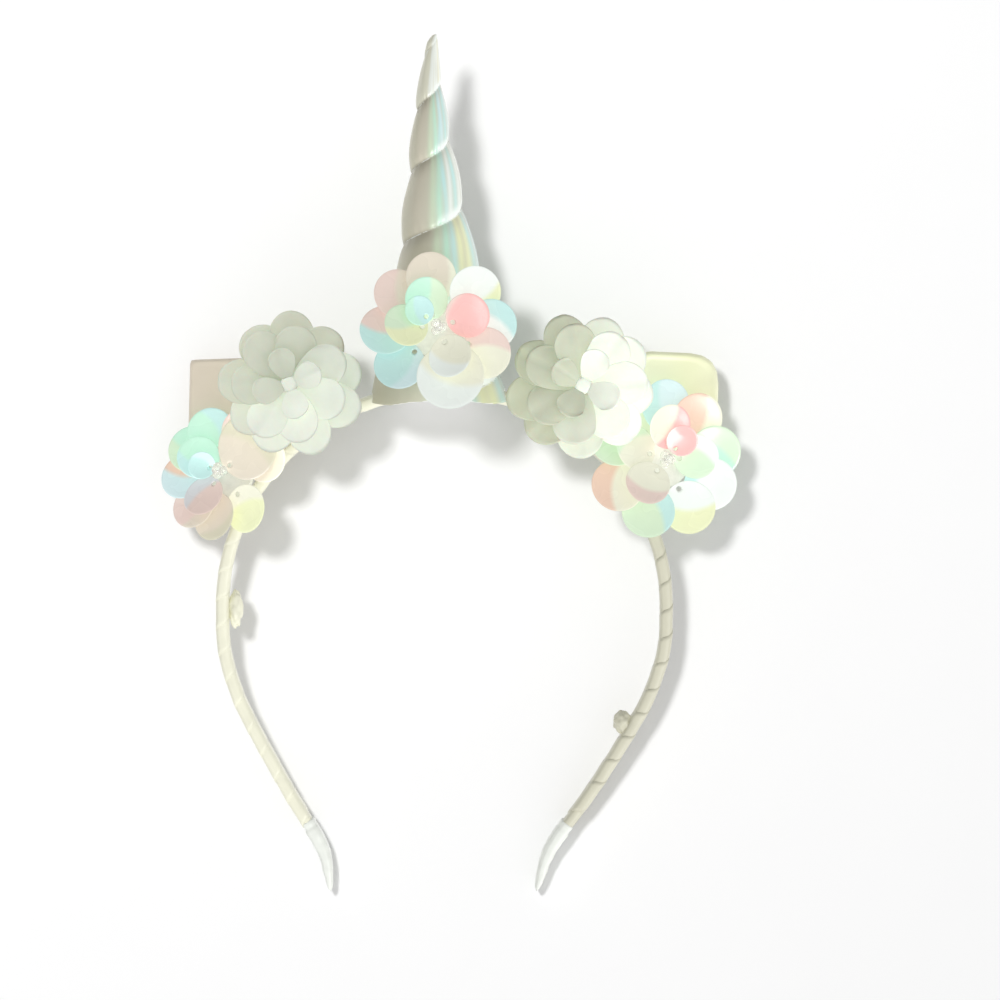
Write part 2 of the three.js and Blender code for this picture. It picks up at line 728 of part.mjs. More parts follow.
// A smooth lump that tapers off along the band, seated on its inner face and cut to clear it
function lumpGeometry(side, { down, length, height, width }) {
  const at = spineLengths[limbSteps] - down;
  const place = side < 0 ? at : spineLength - at;
  const centre = spineAt(place);
  const outward = spineOutward(place);
  const profile = [];
  for (let i = 0; i <= lumpRings; i++) {
    const share = i / lumpRings;
    const end = i % lumpRings === 0;
    profile.push(new THREE.Vector2(end ? 0 : Math.sin(Math.PI * share) ** 0.8, share - 0.5));
  }
  const lump = new THREE.LatheGeometry(profile, 10).scale(height, length, width / 2);
  lump.rotateZ(Math.atan2(outward.y, outward.x));
  lump.translate(centre.x - outward.x * 0.5 * bandThickness, centre.y - outward.y * 0.5 * bandThickness, 0);
  const wide = 4 * bandThickness;
  const block = new THREE.BoxGeometry(wide, 2 * length, 2 * bandDepth).translate(wide / 2, 0, 0);
  block.rotateZ(Math.atan2(outward.y, outward.x));
  block.translate(centre.x, centre.y, 0);
  return cut(lump, [block, bandClearance(place - length, place + length)]);
}

// The whole headband

const headband = new THREE.Group();

function add(name, geometry, material) {
  const mesh = new THREE.Mesh(geometry, materialOf(material));
  mesh.name = name;
  headband.add(mesh);
}

add("band", bandGeometry(), "ribbon");
add("tip_cover_left", coverGeometry(-1), "whiteRibbon");
add("tip_cover_right", coverGeometry(1), "whiteRibbon");
add("horn", hornGeometry(), "hologramCloth");
add("glue_bead", lumpGeometry(-1, glueBead), "glue");
add("ribbon_knot", lumpGeometry(1, ribbonKnot), "ribbon");
ears.forEach((ear) => headband.add(earSeat(ear)));
for (const flower of sequinFlowers) {
  const place = { ...flower, outset: sequinSize * flower.outset, standOff: glueLine };
  headband.add(sequinFlower(flower, flower.side === "centre" ? seatOnHorn() : seatOnBand(place)));
}
for (const flower of fabricFlowers) {
  const place = { ...flower, outset: petalLength * flower.outset, standOff: glueLine };
  headband.add(fabricFlower(flower, seatOnBand(place)));
}

// Laid on its back: turned until the tips and the back of the horn's foot stand at one height

function lowest(name, tilt) {
  const { position } = headband.getObjectByName(name).geometry.attributes;
  let low = Infinity;
  for (let i = 0; i < position.count; i++) {
    low = Math.min(low, position.getY(i) * Math.sin(tilt) + position.getZ(i) * Math.cos(tilt));
  }
  return low;
}

// Halves the span in which the turn must lie until it is found
function restTilt() {
  let flat = 0;
  let steep = radians(20);
  for (let i = 0; i < 40; i++) {
    const tilt = (flat + steep) / 2;
    if (lowest("horn", tilt) < lowest("tip_cover_left", tilt)) flat = tilt;
    else steep = tilt;
  }
  return flat;
}

headband.rotation.x = restTilt();
headband.updateMatrixWorld(true);
const box = new THREE.Box3().setFromObject(headband, true);
headband.position.set(-(box.min.x + box.max.x) / 2, -(box.min.y + box.max.y) / 2, -box.min.z);

export default headband;
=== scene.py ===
"""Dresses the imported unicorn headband: ribbon wound round the band, folded ribbon over its tips, a stuffed
iridescent horn, two leaf-shaped ears, pearly sequins with clear beads and cupped cloth petals.

Metres and degrees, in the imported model's own frame.
"""

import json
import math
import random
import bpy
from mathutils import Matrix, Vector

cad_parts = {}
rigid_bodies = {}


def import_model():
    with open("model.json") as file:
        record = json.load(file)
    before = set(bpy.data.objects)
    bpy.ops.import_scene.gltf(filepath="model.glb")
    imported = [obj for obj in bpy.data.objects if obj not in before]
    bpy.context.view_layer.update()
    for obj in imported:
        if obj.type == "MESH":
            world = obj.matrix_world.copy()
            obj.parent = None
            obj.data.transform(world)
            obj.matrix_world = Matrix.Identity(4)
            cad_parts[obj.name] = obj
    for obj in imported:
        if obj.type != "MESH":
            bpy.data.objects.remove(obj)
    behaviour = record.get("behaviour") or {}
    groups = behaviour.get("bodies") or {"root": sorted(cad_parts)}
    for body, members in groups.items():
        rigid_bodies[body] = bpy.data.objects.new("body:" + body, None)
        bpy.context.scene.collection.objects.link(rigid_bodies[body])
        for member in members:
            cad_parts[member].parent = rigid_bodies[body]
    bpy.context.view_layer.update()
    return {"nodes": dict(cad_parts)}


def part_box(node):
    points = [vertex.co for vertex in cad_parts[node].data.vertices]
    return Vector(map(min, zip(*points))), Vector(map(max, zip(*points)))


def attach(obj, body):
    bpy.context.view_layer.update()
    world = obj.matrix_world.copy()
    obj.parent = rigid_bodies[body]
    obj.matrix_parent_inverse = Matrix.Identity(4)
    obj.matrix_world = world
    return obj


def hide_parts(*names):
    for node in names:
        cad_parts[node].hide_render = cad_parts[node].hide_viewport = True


bl_info = {
    "name": "Unicorn horn headband",
    "version": (1, 0, 0),
    "blender": (4, 5, 0),
    "location": "View3D > Sidebar > Headband",
    "description": "Ribbon, horn, ears, sequins and petals around the packed headband",
    "category": "Object",
}

import bmesh
import bpy
import numpy as np
from bpy.props import FloatProperty, FloatVectorProperty, IntProperty, PointerProperty
from mathutils import Matrix, Vector, noise

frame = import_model()

MM = 0.001
TILT = math.radians(6.5949)  # the band's plane against the surface it lies on

# The band's path: half an ellipse over the crown and two limbs that draw in to the tips
BAND = {"half_width": 66.8, "rise": 65.4, "drop": 87.0, "drift": -3.4, "thickness": 3.9, "depth": 7.0}
LIMB_DOWN = (0, 0.157, 0.31, 0.4, 0.53, 0.68, 0.78, 0.87, 1)
LIMB_OUT = (1, 0.99, 0.93, 0.873, 0.778, 0.66, 0.572, 0.508, 0.468)
COVER_LENGTH = 23.0

# The horn, in millimetres
HORN = {
    "height": 109.0,
    "base": 20.6,
    "tip": 1.3,
    "flare": 0.2,
    "foot": 62.2,
    "lean": 0.5,
    "shift": -1.4,
    "bow": -1.8,
    "bow_share": 0.65,
    "proud": 0.55,
    "first_turn": 12.6,
    "turn_growth": 1.5,
}


# Colours


def linear(hex_colour, alpha=1.0):
    """An sRGB hex colour as the linear values that Blender works in."""
    channels = [int(hex_colour[i : i + 2], 16) / 255 for i in (1, 3, 5)]
    return (*(c / 12.92 if c <= 0.04045 else ((c + 0.055) / 1.055) ** 2.4 for c in channels), alpha)


FILM = {
    "white": linear("#f3f9f4"),
    "cream": linear("#f2f1dc"),
    "yellow": linear("#eff3c2"),
    "mint": linear("#c2f1d9"),
    "green": linear("#d8efcf"),
    "aqua": linear("#c2ebe8"),
    "ice": linear("#d6eff2"),
    "lilac": linear("#dcdcdf"),
    "rose": linear("#f7b7b3"),
    "pink": linear("#ecd2c8"),
    "peach": linear("#f0ccb4"),
    "beige": linear("#e3d8c5"),
    "tan": linear("#d8d3b8"),
    "painted_petal_shade": linear("#c0c7ae"),
    "shade": linear("#aaa692"),
}


def mix(a, b, share):
    """The colour that lies a share of the way from a to b."""
    return tuple(x + (y - x) * share for x, y in zip(a, b))


def smooth(value):
    """A share from 0 to 1 with soft ends."""
    value = min(1.0, max(0.0, value))
    return value * value * (3 - 2 * value)


# Materials


def add(tree, kind, inputs=None, **settings):
    """A shader node with its settings, and with each input linked to a socket or set to a value."""
    node = tree.nodes.new(kind)
    for key, value in settings.items():
        setattr(node, key, value)
    for key, value in (inputs or {}).items():
        if isinstance(value, bpy.types.NodeSocket):
            tree.links.new(value, node.inputs[key])
        else:
            node.inputs[key].default_value = value
    return node


def ramp(tree, source, stops):
    """A colour ramp over a socket, from pairs of place and grey or colour."""
    node = add(tree, "ShaderNodeValToRGB", {"Fac": source})
    elements = node.color_ramp.elements
    while len(elements) < len(stops):
        elements.new(0.5)
    for element, (place, colour) in zip(elements, stops):
        element.position = place
        element.color = colour if hasattr(colour, "__len__") else (colour, colour, colour, 1)
    return node.outputs["Color"]


def new_material(name, **shader):
    """A material with one principled shader, whose even values are set on the shader itself."""
    material = bpy.data.materials.new(name)
    material.use_nodes = True
    tree = material.node_tree
    principled = tree.nodes["Principled BSDF"]
    for key, value in shader.items():
        principled.inputs[key.replace("_", " ").title().replace("Ior", "IOR")].default_value = value
    place = add(tree, "ShaderNodeTexCoord").outputs["Object"]
    return material, tree, principled, place


def link(tree, source, node, socket):
    tree.links.new(source, node.inputs[socket])


def blended(tree, share, first, second, blend):
    """Two colours or colour sockets blended by a share."""
    node = add(tree, "ShaderNodeMix", {"Factor": share}, data_type="RGBA", blend_type=blend)
    for socket, value in (("A", first), ("B", second)):
        target = next(s for s in node.inputs if s.name == socket and s.type == "RGBA")
        if isinstance(value, bpy.types.NodeSocket):
            tree.links.new(value, target)
        else:
            target.default_value = value
    return next(s for s in node.outputs if s.type == "RGBA")


def varied(tree, place, colour, scale, low, high):
    """A colour or colour socket that a soft noise darkens from high to low."""
    cloud = add(tree, "ShaderNodeTexNoise", {"Vector": place, "Scale": scale, "Detail": 3.0}).outputs["Fac"]
    return blended(tree, 1.0, colour, ramp(tree, cloud, [(0.3, low), (0.7, high)]), "MULTIPLY")


def bump(tree, height, strength, distance):
    inputs = {"Height": height, "Strength": strength, "Distance": distance}
    return add(tree, "ShaderNodeBump", inputs).outputs["Normal"]


def weave(tree, place, period, distortion=0.6):
    """Threads that cross at the given period in metres."""
    waves = [
        add(
            tree,
            "ShaderNodeTexWave",
            {"Vector": place, "Scale": 0.314 / period, "Distortion": distortion},
            wave_type="BANDS",
            bands_direction=axis,
        ).outputs["Fac"]
        for axis in ("X", "Y")
    ]
    return add(tree, "ShaderNodeMath", {0: waves[0], 1: waves[1]}, operation="MULTIPLY").outputs["Value"]


def vertex_colour(tree):
    return add(tree, "ShaderNodeAttribute", attribute_name="film", attribute_type="GEOMETRY").outputs["Color"]


def two_films(tree):
    """The two painted reflection colours of a disc, met along the arc that the second colour's alpha measures
    from.
    """
    other = add(tree, "ShaderNodeAttribute", attribute_name="film_b", attribute_type="GEOMETRY")
    share = ramp(tree, other.outputs["Alpha"], [(0.46, 0.0), (0.56, 1.0)])
    return blended(tree, share, vertex_colour(tree), other.outputs["Color"], "MIX")


def satin(name, colour, period, roughness):
    """Satin ribbon: a soft sheen over fine threads. With no colour given, the vertices hold it."""
    material, tree, shader, place = new_material(
        name, roughness=roughness, sheen_weight=0.35, sheen_roughness=0.4, specular_ior_level=0.45
    )
    link(tree, varied(tree, place, colour or vertex_colour(tree), 160, 0.93, 1.0), shader, "Base Color")
    link(tree, bump(tree, weave(tree, place, period), 0.25, 0.00006), shader, "Normal")
    return material


def petal_cloth(name):
    """Thin matt petal cloth: a little light comes through it, and fine threads cross in its weave."""
    material, tree, shader, place = new_material(
        name,
        roughness=0.62,
        sheen_weight=0.3,
        sheen_roughness=0.5,
        subsurface_weight=0.12,
        subsurface_scale=0.002,
        specular_ior_level=0.35,
    )
    link(tree, varied(tree, place, vertex_colour(tree), 220, 0.955, 1.0), shader, "Base Color")
    link(tree, bump(tree, weave(tree, place, 0.00035), 0.3, 0.00005), shader, "Normal")
    return material


def hologram_cloth(name):
    """Coated cloth with a pearly gloss: its colours lie in bands, and the coat puckers over the stuffing."""
    material, tree, shader, place = new_material(
        name, roughness=0.34, coat_weight=0.4, coat_roughness=0.2, specular_ior_level=0.6
    )
    link(tree, varied(tree, place, vertex_colour(tree), 60, 0.97, 1.0), shader, "Base Color")
    noisy = {"Vector": place, "Scale": 120, "Detail": 2.0, "Roughness": 0.4}
    creases = add(tree, "ShaderNodeTexNoise", noisy).outputs["Fac"]
    link(tree, bump(tree, creases, 0.12, 0.0005), shader, "Normal")
    link(tree, ramp(tree, creases, [(0.3, 0.3), (0.7, 0.4)]), shader, "Roughness")
    return material


def pearl_film(name):
    """Pearly plastic film: each disc has its own soft colours of painted iridescent reflection, and its gloss
    wavers a little.
    """
    material, tree, shader, place = new_material(
        name,
        roughness=0.28,
        coat_weight=0.4,
        coat_roughness=0.1,
        specular_ior_level=0.55,
        alpha=0.84,
    )
    link(tree, varied(tree, place, two_films(tree), 130, 0.97, 1.0), shader, "Base Color")
    ripple = add(tree, "ShaderNodeTexNoise", {"Vector": place, "Scale": 150, "Detail": 1.0}).outputs["Fac"]
    link(tree, bump(tree, ripple, 0.15, 0.0004), shader, "Normal")
    link(tree, ramp(tree, ripple, [(0.3, 0.18), (0.7, 0.34)]), shader, "Roughness")
    return material


def clear_plastic(name):
    """Clear plastic bead: sharp gloss and a faint milkiness."""
    material, tree, shader, place = new_material(
        name, roughness=0.06, transmission_weight=0.75, ior=1.49, specular_ior_level=0.6
    )
    link(tree, varied(tree, place, linear("#fbfbf6"), 300, 0.95, 1.0), shader, "Base Color")
    return material


def felt_cloth(name):
    """Pressed felt: matt, with a fuzz of short fibres."""
    material, tree, shader, place = new_material(name, roughness=0.95, sheen_weight=0.5, sheen_roughness=0.6)
    link(tree, varied(tree, place, linear("#eceee2"), 500, 0.9, 1.0), shader, "Base Color")
    fibres = add(tree, "ShaderNodeTexNoise", {"Vector": place, "Scale": 1800, "Detail": 5.0}).outputs["Fac"]
    link(tree, bump(tree, fibres, 0.6, 0.00015), shader, "Normal")
    return material


MATERIALS = {}


def material(name):
    """The named material, made the first time it is asked for."""
    if name not in MATERIALS:
        colours = bpy.context.scene.headband_colours
        MATERIALS[name] = {
            "ivory satin ribbon": lambda: satin(name, None, 0.0003, 0.42),
            "white satin ribbon": lambda: satin(name, (*colours.covers, 1), 0.0003, 0.38),
            "holographic coated cloth": lambda: hologram_cloth(name),
            "pearly sequin film": lambda: pearl_film(name),
            "ivory petal cloth": lambda: petal_cloth(name),
            "clear bead plastic": lambda: clear_plastic(name),
            "white felt": lambda: felt_cloth(name),
        }[name]()
    return MATERIALS[name]


# Meshes


def finished(name, points, faces, material_name, nodes, film=None, film_b=None):
    """A smooth-shaded piece in place of its CAD nodes, riding on the headband, with its normals outward."""
    mesh = bpy.data.meshes.new(name)
    mesh.from_pydata([tuple(p) for p in points], [], faces)
    for attribute, colours in (("film", film), ("film_b", film_b)):
        if colours is not None:
            layer = mesh.color_attributes.new(attribute, "FLOAT_COLOR", "POINT")
            layer.data.foreach_set("color", [c for colour in colours for c in colour])
    shaped = bmesh.new()
    shaped.from_mesh(mesh)
    bmesh.ops.recalc_face_normals(shaped, faces=shaped.faces[:])
    shaped.to_mesh(mesh)
    shaped.free()
    for polygon in mesh.polygons:
        polygon.use_smooth = True
    piece = bpy.data.objects.new(name, mesh)
    bpy.context.scene.collection.objects.link(piece)
    mesh.materials.append(material(material_name))
    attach(piece, "root")
    if nodes:
        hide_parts(*nodes)
    return piece


def ring_faces(rings, sides, start=0, closed=True):
    """Quads between rings of points that follow each other, round the whole ring or along an open row."""
    faces = []
    for ring in range(rings - 1):
        a = start + ring * sides
        for i in range(sides if closed else sides - 1):
            j = (i + 1) % sides
            faces.append((a + i, a + j, a + sides + j, a + sides + i))
    return faces


def skin(rings):
    """Points and faces of a closed tube through the rings, with a fan over each end."""
    sides = len(rings[0])
    points = [p for ring in rings for p in ring]
    faces = ring_faces(len(rings), sides)
    for ring, row in ((rings[0], 0), (rings[-1], (len(rings) - 1) * sides)):
        points.append(sum(ring, Vector()) / sides)
        faces += [(len(points) - 1, row + (i + 1) % sides, row + i) for i in range(sides)]
    return points, faces


def plate(grid_up, grid_down):
    """Points and faces of a thin wall between two open grids of the same size."""
    rows, columns = len(grid_up), len(grid_up[0])
    half = rows * columns
    points = [p for grid in (grid_up, grid_down) for row in grid for p in row]
    faces = ring_faces(rows, columns, 0, False)
    faces += [tuple(reversed(face)) for face in ring_faces(rows, columns, half, False)]
    rim = [r * columns for r in range(rows)] + [(rows - 1) * columns + c for c in range(1, columns)]
    rim += [r * columns + columns - 1 for r in range(rows - 2, -1, -1)] + list(range(columns - 2, 0, -1))
    for a, b in zip(rim, rim[1:] + rim[:1]):
        faces.append((b, a, a + half, b + half))
    return points, faces


def joined(parts):
    """The points and faces of several parts as one list each."""
    points, faces = [], []
    for part_points, part_faces in parts:
        faces += [tuple(i + len(points) for i in face) for face in part_faces]
        points += part_points
    return points, faces


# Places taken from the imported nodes


def top_face(node):
    """The unit normal, middle and points of a node's largest flat face, turned to face up."""
    mesh = frame["nodes"][node].data
    groups = {}
    for polygon in mesh.polygons:
        normal = polygon.normal if polygon.normal.z >= 0 else -polygon.normal
        key = next((k for k in groups if (Vector(k) - normal).length < 0.02), tuple(normal))
        groups.setdefault(key, []).append(polygon)
    normal, polygons = max(groups.items(), key=lambda item: sum(p.area for p in item[1]))
    normal = Vector(normal).normalized()
    top = max(p.center.dot(normal) for p in polygons)
    flat = [p for p in polygons if p.center.dot(normal) > top - 0.0001]
    points = [mesh.vertices[i].co.copy() for i in sorted({i for p in flat for i in p.vertices})]
    area = sum(p.area for p in flat)
    middle = sum((p.center * p.area for p in flat), Vector()) / area
    return normal, middle, points


def turned(normal):
    """The least turn that brings +Z to a normal."""
    return Vector((0, 0, 1)).rotation_difference(normal).to_matrix()


# The band's path


def ribbon_with_painted_shade(x):
    """The ribbon's colour at a place across the band in millimetres, with painted shade that greys it over
    the right limb.
    """
    ribbon = (*bpy.context.scene.headband_colours.ribbon, 1)
    return mix(ribbon, FILM["shade"], 0.5 * smooth((x - 12) / 30))


def hermite(xs, ys, x):
    """A smooth curve through the table's points, level at its start."""
    i = min(max(int(np.searchsorted(xs, x)) - 1, 0), len(xs) - 2)

    def slope(k):
        if k == 0:
            return 0.0
        if k == len(xs) - 1:
            return (ys[-1] - ys[-2]) / (xs[-1] - xs[-2])
        return (ys[k + 1] - ys[k - 1]) / (xs[k + 1] - xs[k - 1])

    step = xs[i + 1] - xs[i]
    t = (x - xs[i]) / step
    a, b = 2 * t**3 - 3 * t**2 + 1, t**3 - 2 * t**2 + t
    c, d = -2 * t**3 + 3 * t**2, t**3 - t**2
    return a * ys[i] + b * step * slope(i) + c * ys[i + 1] + d * step * slope(i + 1)


def band_path():
    """The band's middle line from the left tip to the right, in millimetres, as a row of points along it."""
    rough = []
    for side, downs in ((-1, np.linspace(1, 0, 200)), (1, np.linspace(0, 1, 200))):
        limb = [
            Vector(
                (
                    side * BAND["half_width"] * hermite(LIMB_DOWN, LIMB_OUT, down) + BAND["drift"] * down**2,
                    -BAND["drop"] * down,
                    0,
                )
            )
            for down in downs
        ]
        if side < 0:
            rough += limb
            angles = np.linspace(math.pi, 0, 400)[1:-1]
            rough += [
                Vector((BAND["half_width"] * math.cos(a), BAND["rise"] * math.sin(a), 0)) for a in angles
            ]
        else:
            rough += limb
    return rough


ROUGH = band_path()
REACHED = np.concatenate([[0], np.cumsum([(b - a).length for a, b in zip(ROUGH, ROUGH[1:])])])
LENGTH = float(REACHED[-1])


def along(length):
    """The point and outward direction of the band at a length from its left tip."""
    ahead, here, behind = (
        Vector([float(np.interp(length + step, REACHED, [p[axis] for p in ROUGH])) for axis in range(3)])
        for step in (0.8, 0, -0.8)
    )
    forward = (ahead - behind).normalized()
    return here, Vector((-forward.y, forward.x, 0))


def band_frame():
    """The matrix from the band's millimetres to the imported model, found from where its node lies."""
    turn = Matrix.Rotation(TILT, 3, "X")
    outer = []
    for i in range(400):
        here, outward = along(LENGTH * i / 399)
        for z in (-0.5, 0.5):
            edge = here + outward * BAND["thickness"] / 2 + Vector((0, 0, z * BAND["depth"]))
            outer.append(turn @ edge * MM)
    highest = Vector([max(p[axis] for p in outer) for axis in range(3)])
    origin = Vector(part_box("band")[1]) - highest
    return Matrix.Translation(origin) @ turn.to_4x4() @ Matrix.Scale(MM, 4)


TO_MODEL = band_frame()


def section(length, share_across, share_through, grown=0.0, thickness=None, depth=None):
    """A point of a rounded band section, from its two shares as cosine and sine of a turn round it."""
    here, outward = along(length)
    across = (thickness or BAND["thickness"]) / 2 + grown
    through = (depth or BAND["depth"]) / 2 + grown
    power = 0.62
    a = math.copysign(abs(share_across) ** power, share_across) * across
    t = math.copysign(abs(share_through) ** power, share_through) * through
    return here + outward * a + Vector((0, 0, t))


# Sizes and colours that a user would change


def size_setting(name, description, default):
    """A size in metres that the panel shows."""
    return FloatProperty(name=name, description=description, default=default, unit="LENGTH")


def colour_setting(name, description, default):
    """A colour that the panel shows, from its hex code."""
    return FloatVectorProperty(
        name=name, description=description, default=linear(default)[:3], subtype="COLOR"
    )


class HeadbandSizes(bpy.types.PropertyGroup):
    wrap: size_setting("Ribbon turn", "How far each turn of ribbon moves along the band", 0.0082)
    ribbon_step: size_setting("Ribbon step", "How far a turn's edge stands over the one under it", 0.0001)
    groove: size_setting("Horn groove", "How deep the thread pulls into the horn", 0.0019)
    petal: size_setting("Petal cloth", "Thickness of a petal", 0.00035)
    sequin: size_setting("Sequin film", "Thickness of a sequin", 0.00028)
    sequin_cup: size_setting("Sequin cup", "How far a sequin's rim stands over its middle", 0.00035)
    bead: size_setting("Bead", "Diameter of a clear bead", 0.003)
    seed: IntProperty(name="Seed", description="Changes how the petals differ", default=7, min=0)


class HeadbandColours(bpy.types.PropertyGroup):
    ribbon: colour_setting("Band ribbon", "Ribbon round the band", "#e8e7d2")
    covers: colour_setting("Tip ribbon", "Ribbon over the tips", "#e6e9e2")
    petals: colour_setting("Petals", "Cloth of the petals", "#f2f7ea")
    horn: colour_setting("Horn", "The horn's cloth where no colour plays on it", "#c9c8b4")


# Band


class HEADBAND_OT_band(bpy.types.Operator):
    """Wind the ribbon round the band, each turn lying over the end of the last"""

    bl_idname = "headband.band"
    bl_label = "Ribbon-wound band"

    def execute(self, context):
        sizes = context.scene.headband_sizes
        pitch, step = sizes.wrap / MM, sizes.ribbon_step / MM
        start, end = COVER_LENGTH - 1.5, LENGTH - COVER_LENGTH + 1.5
        sides, columns = 28, 8
        core = [
            [section(length, math.cos(a), math.sin(a), -0.25) for a in np.linspace(0, 2 * math.pi, 20, False)]
            for length in np.linspace(start, end, 260)
        ]
        turns = int((end - start) / pitch) - 1
        width = pitch * 1.35
        upper, lower = [], []
        for i in range(turns * sides + 1):
            turn = i / sides
            wander = 0.09 * pitch * noise.noise(Vector((turn * 0.7, 3.1, 0)))
            angle = 2 * math.pi * turn
            row_up, row_down = [], []
            for j in range(columns + 1):
                share = j / columns
                lapped = 0.75 * (1 - smooth((share - 0.18) / 0.16))
                tucked = 0.35 * smooth((share - 0.72) / 0.1)
                height = step * (0.35 + lapped - tucked)
                height += 0.05 * noise.noise(Vector((turn * 5, share * 3, 1.7)))
                length = start + turn * pitch + share * width + wander
                for row, drop in ((row_up, 0.0), (row_down, -0.12)):
                    row.append(section(length, math.cos(angle), math.sin(angle), height + drop))
            upper.append(row_up)
            lower.append(row_down)
        points, faces = joined([skin(core), plate(upper, lower)])
        # The ribbon's colours carry painted shade over the right limb
        film = [ribbon_with_painted_shade(p.x) for p in points]
        points = [TO_MODEL @ p for p in points]
        finished("ribbon_wound_band", points, faces, "ivory satin ribbon", ["band"], film)
        return {"FINISHED"}


class HEADBAND_OT_tips(bpy.types.Operator):
    """Fold the white ribbon over each tip of the band"""

    bl_idname = "headband.tips"
    bl_label = "Tip covers"

    # How far along the cover, and its thickness and depth there in millimetres
    ALONG = (0, 0.12, 0.3, 0.5, 0.7, 0.86, 0.96, 1)
    THICKNESS = (4.9, 5.3, 5.0, 4.6, 4.0, 3.2, 2.2, 0.8)
    DEPTH = (7.5, 7.8, 7.8, 7.8, 7.6, 7.1, 6.2, 4.6)

    def execute(self, context):
        sides, rows = 36, 60
        for side, name in ((-1, "tip_cover_left"), (1, "tip_cover_right")):
            rings = []
            for i in range(rows + 1):
                share = i / rows
                length = COVER_LENGTH * (1 - share)
                place = length if side < 0 else LENGTH - length
                thickness = float(np.interp(share, self.ALONG, self.THICKNESS))
                depth = float(np.interp(share, self.ALONG, self.DEPTH))
                ring = []
                for j in range(sides):
                    turn = 2 * math.pi * j / sides
                    # The ribbon's long edge laps over itself down one side, and the cloth puckers at its fold
                    lap = 0.28 * (1 - smooth(((j / sides + 0.62) % 1) / 0.5))
                    pucker = 0.16 * noise.noise(Vector((share * 9, j / sides * 5, side * 4.0)))
                    crease = -0.22 * math.exp(-(((share - 0.09) / 0.03) ** 2))
                    grown = -0.5 + lap + pucker + crease
                    ring.append(section(place, math.cos(turn), math.sin(turn), grown, thickness, depth))
                rings.append(ring)
            points, faces = skin(rings)
            points = [TO_MODEL @ p for p in points]
            piece = name.replace("tip_cover", "folded_tip")
            finished(piece, points, faces, "white satin ribbon", [name])
        return {"FINISHED"}


class HEADBAND_OT_lumps(bpy.types.Operator):
    """Pucker the ribbon over the lump of glue on the left limb and the knot on the right one"""

    bl_idname = "headband.lumps"
    bl_label = "Lumps under the ribbon"

    # The node, its piece, its slot and how many ridges run over it
    LUMPS = (("glue_bead", "puckered_glue", "glue", 3), ("ribbon_knot", "ribbon_tied_knot", "ribbon", 5))

    def execute(self, context):
        for node, name, slot, ridges in self.LUMPS:
            low, high = (Vector(corner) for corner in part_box(node))
            middle, half = (low + high) / 2, (high - low) / 2
            rows, columns = 28, 36
            rings = []
            for i in range(rows + 1):
                latitude = math.pi * i / rows
                ring = []
                for j in range(columns):
                    turn = 2 * math.pi * j / columns
                    round_y = math.sin(latitude)
                    unit = Vector((round_y * math.cos(turn), math.cos(latitude), round_y * math.sin(turn)))
                    swell = 1 + 0.07 * math.sin(ridges * turn + 5 * latitude) + 0.16 * noise.noise(unit * 2.3)
                    ring.append(middle + Vector([u * h * 0.96 * swell for u, h in zip(unit, half)]))
                rings.append(ring)
            points, faces = skin(rings)
            # The lumps take the ribbon's colour, with the painted shade that greys the right limb
            film = [ribbon_with_painted_shade(p.x / MM) for p in points]
            finished(name, points, faces, "ivory satin ribbon", [node], film)
        return {"FINISHED"}


# Horn


def horn_radius(from_tip):
    share = from_tip / HORN["height"]
    cone = HORN["tip"] + (HORN["base"] - HORN["tip"]) * (share - HORN["flare"] * (share - share**3))
    return cone * math.sqrt(min(1.0, (from_tip + 0.4) / (2 * HORN["tip"])))


def horn_turns(from_tip):
    first, growth = HORN["first_turn"], HORN["turn_growth"]
    return (-first + math.sqrt(first**2 + 4 * growth * from_tip)) / (2 * growth)


def horn_point(from_tip, turn, radius):
    """A point of the horn in the band's millimetres, from its place along, round and off the axis."""
    bent = min(1.0, from_tip / (HORN["bow_share"] * HORN["height"])) ** 0.55
    aside = HORN["bow"] * math.sin(math.pi * bent)
    place = Vector((aside + radius * math.cos(turn), HORN["height"] - from_tip, radius * math.sin(turn)))
    leaning = Matrix.Rotation(math.radians(HORN["lean"]), 3, "Z")
    return leaning @ place + Vector((HORN["shift"], HORN["foot"], 0))


# Streaks of painted iridescent reflection down the horn: the turn they lie at, their width, how strong they
# are and their colour on each puff from the tip down
HORN_PAINTED_REFLECTIONS = (
    (155, 32, 0.7, ("cream", "tan", "tan", "tan")),
    (118, 18, 0.5, ("cream", "beige", "beige", "tan")),
    (90, 7, 0.8, ("white", "green", "green", "green")),
    (76, 7, 1.0, ("white", "mint", "mint", "mint")),
    (63, 6, 1.0, ("white", "aqua", "aqua", "aqua")),
    (52, 6, 1.0, ("white", "ice", "white", "yellow")),
    (38, 8, 1.0, ("cream", "aqua", "aqua", "yellow")),
    (24, 7, 0.9, ("white", "ice", "white", "aqua")),
    (6, 12, 0.95, ("white", "white", "white", "ice")),
    (-25, 20, 0.8, ("white", "yellow", "white", "mint")),
    (-70, 24, 0.6, ("cream", "mint", "ice", "aqua")),
    (-125, 24, 0.6, ("cream", "aqua", "yellow", "mint")),
)


